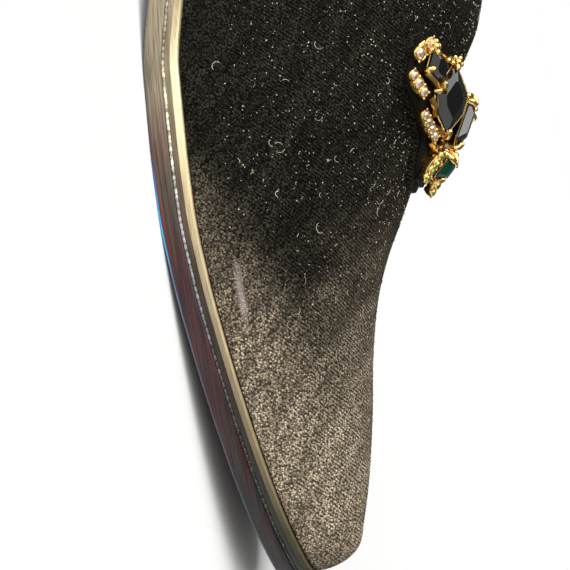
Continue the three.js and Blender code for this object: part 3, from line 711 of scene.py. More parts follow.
stitch_line = collar_line(BINDING_HEIGHT - STITCH_LINE_RISE, -BINDING_PROUD - STITCH_RADIUS / 2)
stitches = piece_from("binding_stitches", *capsules(
    *walk(stitch_line, STITCH_PITCH), STITCH_LENGTH, STITCH_RADIUS, sides=6, rows=5),
    [silk_thread], sharp=80)
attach(stitches, "root")

# Insole
# Board with a leather sock glued over it, cut to the inside of the upper. The sock is
# vegetable-tanned calf, smoothed and waxed.

# Tan calf with a fine pebbled grain and a soft sheen
sock_leather = two_shades("sock_leather", ("#7d6244", "#a78860"), (0.04, 5.0), {"Roughness": 0.48},
                          relief=(0.3, 0.12), pores=1.1)


def dress(node, material):
    """Gives a node of the frame its material"""
    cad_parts[node].data.materials.clear()
    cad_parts[node].data.materials.append(material)


dress("insole", sock_leather)

# Midsole
# A welt of firm leather round the shoe, left tan along its top, stained towards the toe, and
# wheeled along its lower edge with a row of small beads. It is glued and stitched to the outsole.
SOLE_PROUD = 1.9
EDGE_ROUND = 0.7
GROOVE_DEPTH = 0.6
GROOVE_HALF_WIDTH = 0.5
BEVEL_HEIGHT = 1.4
BEVEL_INSET = 1.1
FACE_RUN = 0.3
WELT_TOP_RUN = 0.4
SOLE_STATIONS = 220


def on_outline(share, side, growth):
    """The sole's outline in plan, moved outwards; side is -1 outer and 1 inner"""

    def across(at):
        return BALL_WIDTH * (-outer(at) if side < 0 else inner(at))

    ahead = share_of(turn_of(share) - TURN_STEP)
    behind = share_of(turn_of(share) + TURN_STEP)
    normal = np.stack([across(ahead) - across(behind), LENGTH * (ahead - behind)], -1) * -side
    normal[share <= 0] = (1, 0)
    normal[share >= 1] = (-1, 0)
    normal /= np.linalg.norm(normal, axis=-1, keepdims=True)
    return np.stack([-LENGTH * share, across(share)], -1) + normal * np.asarray(growth)[..., None]


def edge_ring(share, inset, rise):
    """One line round the sole's edge, at an inset from it and a rise above the underside"""
    sides = []
    for side in (-1, 1):
        plan = on_outline(share, side, SOLE_PROUD * proud(share) - inset)
        height = underside(np.clip(-plan[:, 0] / LENGTH, 0, 1)) + rise
        sides.append(np.concatenate([plan, height[:, None]], 1))
    return np.concatenate([sides[0], sides[1][::-1]])


def sole_layer(name, profile, materials, row_slots):
    """Closed layer of the sole; row_slots gives the material of each band of its edge, and its
    underside has the last material"""
    share = share_of(np.linspace(0, 1, SOLE_STATIONS))
    points = np.concatenate([edge_ring(share, inset, rise) for inset, rise in profile])
    count = 2 * SOLE_STATIONS
    faces = grid_faces(len(profile), count, closed=True)
    indices = [row_slots[i // count] for i in range(len(faces))]
    for first in (0, (len(profile) - 1) * count):
        for i in range(SOLE_STATIONS - 1):
            faces.append([first + i, first + i + 1, first + count - i - 2, first + count - i - 1])
            indices.append(row_slots[-1] if first else len(materials) - 1)
    return piece_from(name, points, faces, materials, indices, sharp=35)


def rounded(inset, rise, radius, start, end, steps=6):
    """Rows of an edge profile round a corner whose centre is at an inset and a rise"""
    turns = np.radians(np.linspace(start, end, steps))
    return [(inset - radius * math.cos(t), rise + radius * math.sin(t)) for t in turns]


EDGE_TONES_START = 0.0
EDGE_TONES_END = 132.0


def edge_tones(material, place, tones):
    """Colours that change along the shoe: each tone is a distance ahead of its middle in
    millimetres and a colour"""
    along = add_node(material, "SeparateXYZ", {"Vector": place})
    share = add_node(material, "MapRange", {
        "Value": along.outputs["X"], "From Min": EDGE_TONES_START, "From Max": EDGE_TONES_END})
    ramp = add_node(material, "ValToRGB", {"Fac": share.outputs[0]})
    stops = ramp.color_ramp.elements
    for _ in tones[2:]:
        stops.new(0.5)
    for stop, (distance, code) in zip(stops, tones):
        stop.position = (distance - EDGE_TONES_START) / (EDGE_TONES_END - EDGE_TONES_START)
        stop.color = linear(code)
    return ramp.outputs["Color"]


STREAKS_ACROSS = 2.4
SECOND_TINT_FADE = 30.0


def waxed_leather(name, tones, streak_run, low, high, roughness, tint, tint_from=-200.0):
    """Vegetable-tanned leather edge, inked and waxed: its fibres show as long streaks that are
    lighter and darker than the tone of the place, and a second tint colours some of them, ahead of
    a distance from the middle of the shoe. On the welt and the sole's edge, some tones and tints are
    painted highlights and reflections"""
    made = new_material(name)
    place = millimetres(made)
    drawn = add_node(made, "VectorMath", {0: place, 1: (streak_run, streak_run, STREAKS_ACROSS)},
                     operation="MULTIPLY")
    streak = add_node(made, "TexNoise", {
        "Vector": drawn.outputs[0], "Scale": 1.0, "Detail": 5.0, "Roughness": 0.65})
    depth = add_node(made, "MapRange", {
        "Value": streak.outputs["Fac"], "From Min": 0.3, "From Max": 0.7,
        "To Min": low, "To Max": high})
    shaded = add_node(made, "VectorMath", {0: edge_tones(made, place, tones), 1: depth.outputs[0]},
                      operation="MULTIPLY")
    second = add_node(made, "TexNoise", {"Vector": drawn.outputs[0], "Scale": 0.45, "Detail": 2.0})
    cover = add_node(made, "MapRange", {
        "Value": second.outputs["Fac"], "From Min": 0.5, "From Max": 0.62})
    along = add_node(made, "SeparateXYZ", {"Vector": place})
    tint_ahead = add_node(made, "MapRange", {
        "Value": along.outputs["X"], "From Min": tint_from,
        "From Max": tint_from + SECOND_TINT_FADE})
    patch = add_node(made, "Math", {0: cover.outputs[0], 1: tint_ahead.outputs[0]}, operation="MULTIPLY")
    tinted = add_node(made, "MixRGB", {
        "Fac": patch.outputs[0], "Color1": (1.0, 1.0, 1.0, 1.0), "Color2": (*tint, 1.0)})
    colour = add_node(made, "VectorMath", {0: shaded.outputs[0], 1: tinted.outputs[0]},
                      operation="MULTIPLY")
    bump = add_node(made, "Bump", {"Height": streak.outputs["Fac"], "Strength": 0.3,
                                   "Distance": 0.12 * MM})
    shader = add_node(made, "BsdfPrincipled", {
        "Base Color": colour.outputs[0], "Roughness": roughness, "Specular IOR Level": 0.35,
        "Normal": bump.outputs[0]})
    return finish_material(made, shader)


# Welt leather left tan, with a painted highlight as a pale band from 20 to 46 mm ahead of the middle
tan_welt = waxed_leather("tan_welt_leather", [
    (0, "#a59572"), (10, "#c0ae84"), (20, "#ecdcae"), (32, "#f0dfb2"), (46, "#cbb68d"),
    (60, "#a99876"), (80, "#887a60"), (102, "#776a52"), (122, "#474132")],
    streak_run=0.2, low=0.7, high=1.1, roughness=0.5, tint=(0.86, 0.84, 0.82))
# A brighter, glossier copy for the rounded top of the bevel: a painted highlight along its edge
welt_bevel_highlight = waxed_leather("welt_bevel_painted_highlight", [
    (0, "#a0916c"), (20, "#fbeec2"), (46, "#dcc899"), (60, "#c6b487"), (80, "#b8a478"),
    (102, "#97855f"), (122, "#5d5440")],
    streak_run=0.2, low=0.8, high=1.15, roughness=0.4, tint=(0.9, 0.88, 0.82))
# The same leather under brown ink, below the tan band
inked_welt = waxed_leather("inked_welt_leather", [
    (0, "#94876f"), (25, "#83775f"), (45, "#5c4d3b"), (65, "#3d3023"), (90, "#2f271e"),
    (118, "#2c2c27")],
    streak_run=0.1, low=0.5, high=1.4, roughness=0.42, tint=(0.75, 0.72, 0.7))

# Inset and rise of each line of the welt's edge, from the groove up to the foot of the upper
WELT_BASE = OUTSOLE_THICKNESS + FIT
welt_profile = [
    (GROOVE_DEPTH + FACE_RUN, WELT_BASE),
    (GROOVE_DEPTH, WELT_BASE),
    *rounded(GROOVE_HALF_WIDTH, WELT_BASE + GROOVE_HALF_WIDTH, GROOVE_HALF_WIDTH, -60, 0, steps=4),
    (0.0, SOLE_TOP - BEVEL_HEIGHT),
    (0.2, SOLE_TOP - 0.7 * BEVEL_HEIGHT),
    (0.6 * BEVEL_INSET, SOLE_TOP - 0.3 * BEVEL_HEIGHT),
    (BEVEL_INSET, SOLE_TOP),
    (BEVEL_INSET + WELT_TOP_RUN, SOLE_TOP),
]
midsole = sole_layer("welted_midsole", welt_profile, [tan_welt, welt_bevel_highlight, inked_welt],
                     6 * [2] + [0, 0, 1, 0])
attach(midsole, "root")
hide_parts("midsole")

BEAD_PITCH = 1.55
BEAD_LENGTH = 1.75
BEAD_RADIUS = 0.36
BEAD_SUNK = 0.6
BEAD_LINE_STATIONS = 600


def bead_painted_highlight():
    """Tops of the wheeled beads: their cream, turning blue-grey further ahead, is a painted highlight
    and reflection, brighter or duller from bead to bead, and dark by the toe
    """
    made = new_material("bead_painted_highlight")
    place = millimetres(made)
    bead_speckle = add_node(made, "TexNoise", {"Vector": place, "Scale": 0.6, "Detail": 2.0})
    depth = add_node(made, "MapRange", {
        "Value": bead_speckle.outputs["Fac"], "From Min": 0.35, "From Max": 0.65, "To Min": 0.35, "To Max": 1.6})
    tone = edge_tones(made, place, [
        (0, "#8e8269"), (12, "#a1957a"), (22, "#ded1ae"), (40, "#d6ceb8"), (54, "#8f9092"),
        (70, "#74777c"), (88, "#47433d"), (106, "#34332e")])
    colour = add_node(made, "VectorMath", {0: tone, 1: depth.outputs[0]}, operation="MULTIPLY")
    shader = add_node(made, "BsdfPrincipled", {"Base Color": colour.outputs[0], "Roughness": 0.3})
    return finish_material(made, shader)


edge_share = share_of(np.linspace(0, 1, BEAD_LINE_STATIONS))
bead_line = edge_ring(edge_share, BEAD_RADIUS * BEAD_SUNK, OUTSOLE_THICKNESS + FIT / 2)
beads = piece_from("welt_beads", *capsules(
    *walk(bead_line, BEAD_PITCH), BEAD_LENGTH, BEAD_RADIUS), [bead_painted_highlight()], sharp=80)
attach(beads, "root")

# Outsole
# One full-length sole of oak-bark leather, its edge trimmed, inked nearly black and burnished with
# hot wax. On its gloss, the long streaks of red, the blue rim and the warm tan towards the heel are
# painted reflections. Its underside is stained dark.


def oak_bark_leather():
    """Underside of the sole, stained and waxed dark brown, with a fibrous grain"""
    made = new_material("oak_bark_leather")
    place = millimetres(made)
    grain = add_node(made, "TexNoise", {"Vector": place, "Scale": 0.9, "Detail": 6.0, "Roughness": 0.7})
    stain = add_node(made, "TexNoise", {"Vector": place, "Scale": 0.03, "Detail": 4.0})
    colour = add_node(made, "MixRGB", {
        "Fac": stain.outputs["Fac"], "Color1": linear("#1a1613"), "Color2": linear("#3d3128")})
    bump = add_node(made, "Bump", {
        "Height": grain.outputs["Fac"], "Strength": 0.3, "Distance": 0.15 * MM})
    shader = add_node(made, "BsdfPrincipled", {
        "Base Color": colour.outputs[0], "Roughness": 0.6, "Normal": bump.outputs[0]})
    return finish_material(made, shader)


# Ink and hot wax, nearly black at the toe; painted reflections: tan from heel to waist, red between
burnished_edge = waxed_leather("burnished_edge", [
    (0, "#887c64"), (24, "#786c57"), (36, "#58493c"), (50, "#41352d"), (66, "#3c2528"),
    (92, "#352325"), (108, "#2b2a27"), (126, "#252b2a")],
    streak_run=0.07, low=0.3, high=1.7, roughness=0.32, tint=(1.8, 0.68, 0.74), tint_from=24.0)
# Painted blue reflection along the rounded lower rim
blue_rim_reflection = waxed_leather("blue_rim_painted_reflection", [
    (0, "#6f6a60"), (26, "#55534f"), (38, "#2a3d52"), (46, "#2f86b8"), (56, "#57c4ee"),
    (66, "#5f7796"), (90, "#5a4f60"), (118, "#465055")],
    streak_run=0.07, low=0.8, high=1.15, roughness=0.3, tint=(0.8, 0.85, 0.95))

# Inset and rise of each line of the outsole's edge, from the tread up to the groove
EDGE_SWELL = 0.06
outsole_profile = [
    (EDGE_ROUND, 0.0),
    *rounded(EDGE_ROUND, EDGE_ROUND, EDGE_ROUND, -80, 0),
    (-EDGE_SWELL, OUTSOLE_THICKNESS / 2),
    (0.0, OUTSOLE_THICKNESS - 1.2 * GROOVE_HALF_WIDTH),
    (0.12, OUTSOLE_THICKNESS - 0.7 * GROOVE_HALF_WIDTH),
    (GROOVE_DEPTH, OUTSOLE_THICKNESS),
    (GROOVE_DEPTH + FACE_RUN, OUTSOLE_THICKNESS),
]
outsole = sole_layer("leather_outsole", outsole_profile,
                     [burnished_edge, blue_rim_reflection, oak_bark_leather()], 5 * [1] + 6 * [0])
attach(outsole, "root")
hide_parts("outsole")

# Heel block
# Lifts of sole leather, about 3 mm each, glued and nailed up under the heel seat, rasped to a
# taper, inked and burnished with the sole's edge. The front, the breast, is slightly hollow.
HEEL_LENGTH = 57.0
HEEL_TAPER = 1.5
HEEL_SET_BACK = 0.5
TOP_PIECE_THICKNESS = 4.0
BREAST_RADIUS = 70.0
BREAST_HOLLOW = 3.0
HEEL_LIFTS = 4
LIFT_GROOVE = 0.14
HEEL_STATIONS = 90
BREAST_POINTS = 30


def heel_inset(height):
    """How far the heel's side lies inside the sole's edge at a height"""
    return HEEL_SET_BACK + HEEL_TAPER * (1 - height / HEEL_HEIGHT)


def heel_ring(height, inset, groove):
    """Outline of the heel at one height, its front edge hollowed"""
    first = turn_of(1 - HEEL_LENGTH / LENGTH)
    share = share_of(np.linspace(first, 1, HEEL_STATIONS))
    growth = SOLE_PROUD * proud(share) - inset - groove
    near = on_outline(share, -1, growth)
    far = on_outline(share, 1, growth)[::-1]
    front = HEEL_LENGTH - LENGTH
    y = np.linspace(far[-1, 1], near[0, 1], BREAST_POINTS)[1:-1]
    middle = BALL_WIDTH * ridge(1)
    hollow = BREAST_HOLLOW - BREAST_RADIUS + np.sqrt(BREAST_RADIUS ** 2 - (y - middle) ** 2)
    face = np.stack([front - np.maximum(hollow, 0) - groove, y], 1)
    plan = np.concatenate([near, far, face])
    top = np.full(len(plan), height)
    return np.concatenate([plan, top[:, None]], 1)


def heel_piece(name, rows, material):
    """Closed piece of the heel through rows of height, inset and groove"""
    rings = [heel_ring(height, inset, groove) for height, inset, groove in rows]
    count = len(rings[0])
    faces = grid_faces(len(rings), count, closed=True)
    faces.append(list(range(count)))
    faces.append([(len(rings) - 1) * count + i for i in range(count)])
    return piece_from(name, np.concatenate(rings), faces, [material], sharp=35)


def lift_rows(low, high, lifts, groove):
    """Rows up the heel with a fine groove between one lift and the next"""
    rows = []
    for i in range(lifts):
        bottom = low + (high - low) * i / lifts
        top = low + (high - low) * (i + 1) / lifts
        rows.append((bottom, heel_inset(bottom), groove))
        rows.append((bottom + groove, heel_inset(bottom), 0.0))
        rows.append((top - groove, heel_inset(top), 0.0))
    rows.append((high, heel_inset(high), groove))
    return rows


# Dark brown ink over all the lifts, with a warm gloss
burnished_lifts = waxed_leather(
    "burnished_lifts", [(0, "#322923"), (132, "#322923")],
    streak_run=0.08, low=0.5, high=1.35, roughness=0.35, tint=(1.3, 0.9, 0.85))
block_rows = lift_rows(TOP_PIECE_THICKNESS + FIT, HEEL_HEIGHT - FIT, HEEL_LIFTS, LIFT_GROOVE)
block = heel_piece("stacked_heel", block_rows, burnished_lifts)
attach(block, "root")
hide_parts("heel_block")

# Heel top piece
# The layer of the heel that wears and is renewed. It is cut from black vulcanised rubber sheet,
# nailed and glued under the heel block, and trimmed flush.
TREAD_CHAMFER = 0.25
SEAM_DROP = 0.1
SEAM_GROOVE = 0.12

# Matt black rubber with a fine moulded tooth
lift_rubber = two_shades("lift_rubber", ("#0d0d0d", "#1f1e1d"), (2.5, 3.0), {"Roughness": 0.7},
                         relief=(0.3, 0.1))

top_piece = heel_piece("rubber_top_piece", [
    (0.0, heel_inset(0.0), TREAD_CHAMFER),
    (TREAD_CHAMFER, heel_inset(0.0), 0.0),
    (TOP_PIECE_THICKNESS - SEAM_DROP, heel_inset(TOP_PIECE_THICKNESS), 0.0),
    (TOP_PIECE_THICKNESS, heel_inset(TOP_PIECE_THICKNESS), SEAM_GROOVE)], lift_rubber)
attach(top_piece, "root")
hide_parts("heel_top_piece")

# Ornament pad
# A leather backing under the cluster, covered with the same velvet as the vamp and sewn through
# to it. It carries the casting.
dress("ornament_pad", silk_velvet("pad_velvet"))

# Ornament casting
# Cast brass, gold plated: a plate curved to the vamp, a cup with four claws for each cut stone, and
# leaves of small round collets. The plate is coloured near-black, a painted shade for the recesses.
CLUSTER_TOE_BACK = 87.0
CLUSTER_LENGTH = 28.5
CLUSTER_WIDTH = 43.0
CLUSTER_HEIGHT = 6.3
PAD_THICKNESS = 1.0
PLATE_THICKNESS = 0.9
PLATE_HEIGHT = 2 * FIT + PAD_THICKNESS
STONE_DEPTH = 1.4
STONE_GIRDLE = 0.5
STONE_TABLE = 0.55
SETTING_WALL = 0.35
RIM_FOOT = -0.42
RIM_TOP = -0.32
RIM_BEVEL = 0.1

# Place of a piece along and across the cluster and its lift off the velvet, as shares, its turn,
# tilt and nose in degrees, and its length and width as shares
PIECE_COLUMNS = ("along", "across", "lift", "turn", "tilt", "nose", "length", "width")
# Each stone's cut, whether it stands on both sides, and its place
STONES = {
    "centre_baguette": ("baguette", False, (0.58, 0, 1, 0, 0, 4, 0.4, 0.116)),
    "toe_stone": ("baguette", False, (0.205, 0, 1, 0, 0, -16, 0.205, 0.116)),
    "large_kite": ("kite", True, (0.64, 0.437, 0.81, 12, 32, 10, 0.545, 0.195)),
    "small_kite": ("kite", True, (0.82, 0.73, 0.65, 35, 8, 0, 0.3, 0.13)),
}
# A number of set stones and a row of the same columns; the leaves lie on both sides
LEAVES = [
    (2, (0.93, 0.93, 0.5, -50, 0, 0, 0.26, 0.092)),
    (3, (0.667, 0.89, 0.5, 50, 0, 0, 0.253, 0.092)),
    (4, (0.41, 0.55, 0.54, 62, 0, 0, 0.35, 0.09)),
    (4, (0.155, 0.28, 0.78, -8, 0, -14, 0.288, 0.08)),
]
# Corners of a stone's outline, as shares of half its length and width
CUTS = {
    "kite": [(1, 0), (0.35, 0.82), (-0.2, 1), (-1, 0.12), (-1, -0.12), (-0.2, -1), (0.35, -0.82)],
    "baguette": [(1, 0.62), (0.8, 1), (-0.8, 1), (-1, 0.62), (-1, -0.62), (-0.8, -1), (0.8, -1),
                 (1, -0.62)],
}
# Outline of the plate and of the notch at its rear, as shares of the cluster's length and half width
OUTLINE_ALONG = (0, 0.08, 0.3, 0.45, 0.62, 0.88, 1)
OUTLINE_ACROSS = (0.19, 0.3, 0.42, 0.68, 0.96, 1, 0.95)
NOTCH_ALONG = (0.76, 0.84, 0.96, 1)
NOTCH_ACROSS = (0, 0.3, 0.6, 0.95)


def sized(shares):
    """A row of the tables in millimetres: its lengths are shares of the cluster's sizes"""
    row = dict(zip(PIECE_COLUMNS, shares))
    row["back"] = CLUSTER_TOE_BACK + row["along"] * CLUSTER_LENGTH
    row["across"] *= CLUSTER_WIDTH / 2
    row["lift"] *= CLUSTER_HEIGHT
    row["length"] *= CLUSTER_LENGTH
    row["width"] *= CLUSTER_WIDTH
    return row


def vamp_skin(back, across):
    """Points on the vamp at places in plan, and the normals there"""
    share = np.asarray(back, float) / LENGTH
    offset = across - BALL_WIDTH * ridge(share)
    half = BALL_WIDTH * np.where(offset < 0, outer(share) + ridge(share), inner(share) - ridge(share))
    rise = np.arccos(np.minimum(np.abs(offset) / half, 1) ** (full(share) / 2))
    angle = np.where(offset < 0, rise, np.pi - rise)
    return on_last(share, angle), normal_on_last(share, angle)


def turned(axis, degrees):
    """Matrix of a turn about an axis"""
    return np.array(Matrix.Rotation(math.radians(degrees), 3, axis))


def cluster_frame(row, side):
    """Axes and origin of a piece of the cluster: x to the toe, z out of the velvet"""
    point, normal = vamp_skin(np.array([row["back"]]), np.array([side * row["across"]]))
    forward = np.array([1.0, 0, 0]) - normal[0, 0] * normal[0]
    forward /= np.linalg.norm(forward)
    axes = np.stack([forward, np.cross(normal[0], forward), normal[0]], 1)
    axes = axes @ turned("Z", -side * row["turn"]) @ turned("X", -side * row["tilt"])
    return axes @ turned("Y", -row["nose"]), point[0] + row["lift"] * normal[0]


def set_in(place, part):
    """A part moved from the axes of its piece to the last's"""
    axes, origin = place
    return np.asarray(part[0]) @ axes.T + origin, part[1]


def stacked(rings):
    """Closed mesh through rings of equal count, with flat ends"""
    count = len(rings[0])
    faces = grid_faces(len(rings), count, closed=True)
    faces += [list(range(count)), list(range((len(rings) - 1) * count, len(rings) * count))]
    return np.concatenate(rings), faces


def cut_ring(cut, row, margin, shrink, height):
    """Outline of a cut stone, grown by a margin and then shrunk towards its middle"""
    corners = np.array(CUTS[cut], float)
    half = np.array([row["length"] / 2 + margin, row["width"] / 2 + margin]) * shrink
    return np.column_stack([corners * half, np.full(len(corners), height)])


def cup(cut, row):
    """Open cup that a stone sits in, its rim bevelled"""
    outside = FIT + SETTING_WALL
    inside = FIT / 2
    return stacked([cut_ring(cut, row, *ring) for ring in (
        (outside, STONE_TABLE, -STONE_DEPTH - outside), (outside, 1, -STONE_GIRDLE),
        (outside, 1, RIM_FOOT), (outside - RIM_BEVEL, 1, RIM_TOP), (inside + RIM_BEVEL, 1, RIM_TOP),
        (inside, 1, RIM_FOOT), (inside, 1, -STONE_GIRDLE), (inside, STONE_TABLE, -STONE_DEPTH - FIT))])


EASING_STEPS = 4


def eased(path):
    """A smooth run of points through a few"""
    path = np.asarray(path, float)
    ends = np.concatenate([2 * path[:1] - path[1:2], path, 2 * path[-1:] - path[-2:-1]])
    k = np.linspace(0, 1, EASING_STEPS, endpoint=False)[:, None]
    spans = []
    for a, b, c, d in zip(ends, ends[1:], ends[2:], ends[3:]):
        spans.append(0.5 * (2 * b + (c - a) * k + (2 * a - 5 * b + 4 * c - d) * k ** 2
                            + (3 * b - a - 3 * c + d) * k ** 3))
    return np.concatenate(spans + [path[-1:]])


CLAW_RADIUS = 0.74
CLAW_TAPER = 0.95
CLAW_TIP = (0.93, 0.75, 0.35)
# A claw's reach outwards from the stone's edge and its height, from the plate to its bent tip
CLAW_PATH = [(1.0, -1.9), (0.95, -0.9), (0.85, 0.0), (0.45, 0.62), (-0.25, 0.95), (-1.0, 1.3)]


def claws(cut, row):
    """Bars that rise beside a stone and bend over its two ends and two broad corners"""
    broad = CUTS[cut][2][0]
    made = []
    for along, over in ((1, 0), (-1, 0), (broad, 1), (broad, -1)):
        corner = np.array([along * row["length"] / 2, over * row["width"] / 2, 0])
        out = np.array([along if not over else 0, over, 0], float)
        path = eased([corner + reach * out + np.array([0, 0, height]) for reach, height in CLAW_PATH])
        radii = CLAW_RADIUS * np.linspace(1, CLAW_TAPER, len(path))
        radii[-len(CLAW_TIP):] *= CLAW_TIP
        made.append(tube(path, radii, 10))
    return made


def turned_shape(profile, sides, centre):
    """Mesh of revolution about z, from radii and heights"""
    turn = np.linspace(0, 2 * np.pi, sides, endpoint=False)
    rings = [np.column_stack([radius * np.cos(turn), radius * np.sin(turn), np.full(sides, height)])
             for radius, height in profile]
    points, faces = stacked(rings)
    return points + np.asarray(centre), faces


BEAD_FLAT = 0.15


def bead(centre, radius):
    """Ball of the casting, a little flat at its poles"""
    arc = np.linspace(BEAD_FLAT - np.pi / 2, np.pi / 2 - BEAD_FLAT, 8)
    return turned_shape(zip(radius * np.cos(arc), radius * np.sin(arc)), 12, centre)


STONE_FILL = 0.7
STONE_SHRINK = 0.16


def leaf_stones(count, row):
    """Middle and radius of each round stone of a leaf, smaller towards its ends"""
    step = row["length"] / count
    for i in range(count):
        along = (i + 0.5) * step - row["length"] / 2
        radius = min(STONE_FILL * step, row["width"] / 2)
        yield along, radius * (1 - STONE_SHRINK * abs(2 * along / row["length"]))


LEAF_DOME = 0.9
# Radius of the collet as a share of the stone's, and its height
COLLET_FOOT = (0.4, -1.6)
COLLET = [(0.85, -0.6), (1, 0.1), (1.02, 0.7), (0.96, 0.92), (0.84, 0.97), (0.74, 0.8), (0.72, 0.4)]
# Place of the beads between two collets, in shares of the stone's radius ahead and aside, their
# height and radius
COLLET_BEADS = [(0.8, 0.7, 0.95, 0.34), (-0.8, 0.7, 0.95, 0.26)]


def leaf(count, row):
    """Leaf of the casting: a boss on the plate, a collet round each stone, and beads between"""
    turn = np.linspace(0, 2 * np.pi, 24, endpoint=False)
    foot = PLATE_HEIGHT - row["lift"]
    made = [stacked([np.column_stack([
        grown * row["length"] / 2 * np.cos(turn), grown * row["width"] / 2 * np.sin(turn),
        np.full(len(turn), height)]) for grown, height in (
            (0.5, foot), (0.55, foot / 2), (0.9, -0.2), (0.88, 0.2), (0.7, LEAF_DOME / 2))])]
    for along, radius in leaf_stones(count, row):
        profile = [(COLLET_FOOT[0] * radius, max(foot, COLLET_FOOT[1]))]
        profile += [(grown * radius, height) for grown, height in COLLET]
        made.append(turned_shape(profile, 20, (along, 0, 0)))
        for side in (-1, 1):
            for ahead, aside, height, size in COLLET_BEADS:
                made.append(bead((along + ahead * radius, side * aside * radius, height), size))
    return made


ROSETTE_BACK = 1.0
ROSETTE_REACH = 1.15
PETALS = 5
PETAL_RADIUS = 0.72
PETAL_HEIGHT = 0.25
MIDDLE_RADIUS = 0.95
MIDDLE_HEIGHT = 0.7


def rosette(row):
    """Small rosette on the rear end of a kite's cup"""
    end = -row["length"] / 2 - ROSETTE_BACK
    made = [bead((end, 0, MIDDLE_HEIGHT), MIDDLE_RADIUS)]
    for turn in np.linspace(0, 2 * np.pi, PETALS, endpoint=False):
        x = end + ROSETTE_REACH * math.cos(turn)
        made.append(bead((x, ROSETTE_REACH * math.sin(turn), PETAL_HEIGHT), PETAL_RADIUS))
    return made


VEIN_RADIUS = 0.85
VEIN_ARCH = 0.5


def vein(start, end):
    """Bar of the casting that joins two of its pieces, above the plate"""
    k = np.linspace(0, 1, 9)
    back = CLUSTER_TOE_BACK + CLUSTER_LENGTH * (start[0] + (end[0] - start[0]) * k)
    across = CLUSTER_WIDTH / 2 * (start[1] + (end[1] - start[1]) * k)
    point, normal = vamp_skin(back, across)
    height = CLUSTER_HEIGHT / 2 + VEIN_ARCH * np.sin(np.pi * k)
    return tube(point + height[:, None] * normal, VEIN_RADIUS, 10)


# Two ends of each vein, along and across the cluster in shares
VEINS = [
    ((0.93, 0.8), (0.84, 0.6)), ((0.76, 0.84), (0.68, 0.6)), ((0.6, 0.66), (0.5, 0.5)),
    ((0.42, 0.42), (0.42, 0.1)), ((0.32, 0.36), (0.22, 0.06)), ((0.26, 0.28), (0.38, 0.04)),
    ((0.12, 0.2), (0.1, -0.02)),
]


def casting_parts():
    """All the pieces of the casting above its plate"""
    parts = []
    for cut, paired, shares in STONES.values():
        row = sized(shares)
        for side in (-1, 1) if paired else (-1,):
            place = cluster_frame(row, side)
            pieces = [cup(cut, row), *claws(cut, row)]
            if cut == "kite":
                pieces += rosette(row)
            parts += [set_in(place, piece) for piece in pieces]
    for count, shares in LEAVES:
        row = sized(shares)
        for side in (-1, 1):
            parts += [set_in(cluster_frame(row, side), piece) for piece in leaf(count, row)]
    for start, end in VEINS:
        for side in (-1, 1):
            parts.append(vein((start[0], side * start[1]), (end[0], side * end[1])))
    return parts


# Cast brass, polished and gold plated: mirror-bright, warmer where it was rubbed
gilt_brass = two_shades("gilt_brass", ("#dd9832", "#fff0a6"), (0.5, 3.0),
                        {"Metallic": 1.0, "Roughness": 0.2}, relief=(0.25, 0.15))

casting = piece_from("gilt_casting", *joined(casting_parts()), [gilt_brass], sharp=35)
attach(casting, "root")
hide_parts("ornament_casting")


def plate_skin(rows, columns, side, height):
    """Points of one half of the plate at a height over the velvet"""
    along = np.linspace(0, 1, rows)[:, None]
    low = np.interp(along, NOTCH_ALONG, NOTCH_ACROSS)
    high = np.interp(along, OUTLINE_ALONG, OUTLINE_ACROSS)
    back = CLUSTER_TOE_BACK + CLUSTER_LENGTH * along
    out = side * CLUSTER_WIDTH / 2 * (low + (high - low) * np.linspace(0, 1, columns)[None, :])
    back, out = np.broadcast_arrays(back, out + BALL_WIDTH * ridge(back / LENGTH))
    _, normal = vamp_skin(back, out)
    point, normal = vamp_skin(back + height * normal[..., 0], out - height * normal[..., 1])
    return point + height * normal


PLATE_ROWS = 60
PLATE_COLUMNS = 24


def plate_piece():
    """The plate in two halves, notched between them at the throat's end"""
    rows, columns = PLATE_ROWS, PLATE_COLUMNS
    within = rows * columns
    notch = int(NOTCH_ALONG[0] * (rows - 1))
    rims = [[(i, columns - 1) for i in range(rows)], [(i, 0) for i in range(notch, rows)],
            [(0, j) for j in range(columns)], [(rows - 1, j) for j in range(columns)]]
    points, faces = [], []
    for side in (-1, 1):
        first = len(points)
        for height in (PLATE_HEIGHT, PLATE_HEIGHT + PLATE_THICKNESS):
            points += plate_skin(rows, columns, side, height).reshape(-1, 3).tolist()
        faces += grid_faces(rows, columns, first) + grid_faces(rows, columns, first + within)
        for rim in rims:
            ids = [first + i * columns + j for i, j in rim]
            faces += [[a, b, b + within, a + within] for a, b in zip(ids, ids[1:])]
    return piece_from("plate_in_painted_shade", points, faces, [painted_shade_brass], sharp=40)


# Brass coloured brown-black as a painted shade for the recesses of the casting, with a dull metal gloss
painted_shade_brass = two_shades("painted_shade_brass", ("#080706", "#231f19"), (0.8, 4.0),
                             {"Metallic": 0.3, "Roughness": 0.75, "Specular IOR Level": 0.1})

plate = plate_piece()
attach(plate, "root")

# Set stones of the leaves
# Round foil-backed crystals, champagne coloured, and pale green in the leaves beside the toe stone.
# Each is pushed into its collet, whose edge is turned over it.

# Radius as a share of the stone's, and height, from the collet up to the table
SET_STONE = [(0.3, 0.45), (0.74, 0.78), (0.72, 0.95), (0.54, 1.35), (0.32, 1.5)]


def set_stone(along, radius):
    """One round stone, its crown above the collet"""
    return turned_shape([(grown * radius, height) for grown, height in SET_STONE], 9, (along, 0, 0))


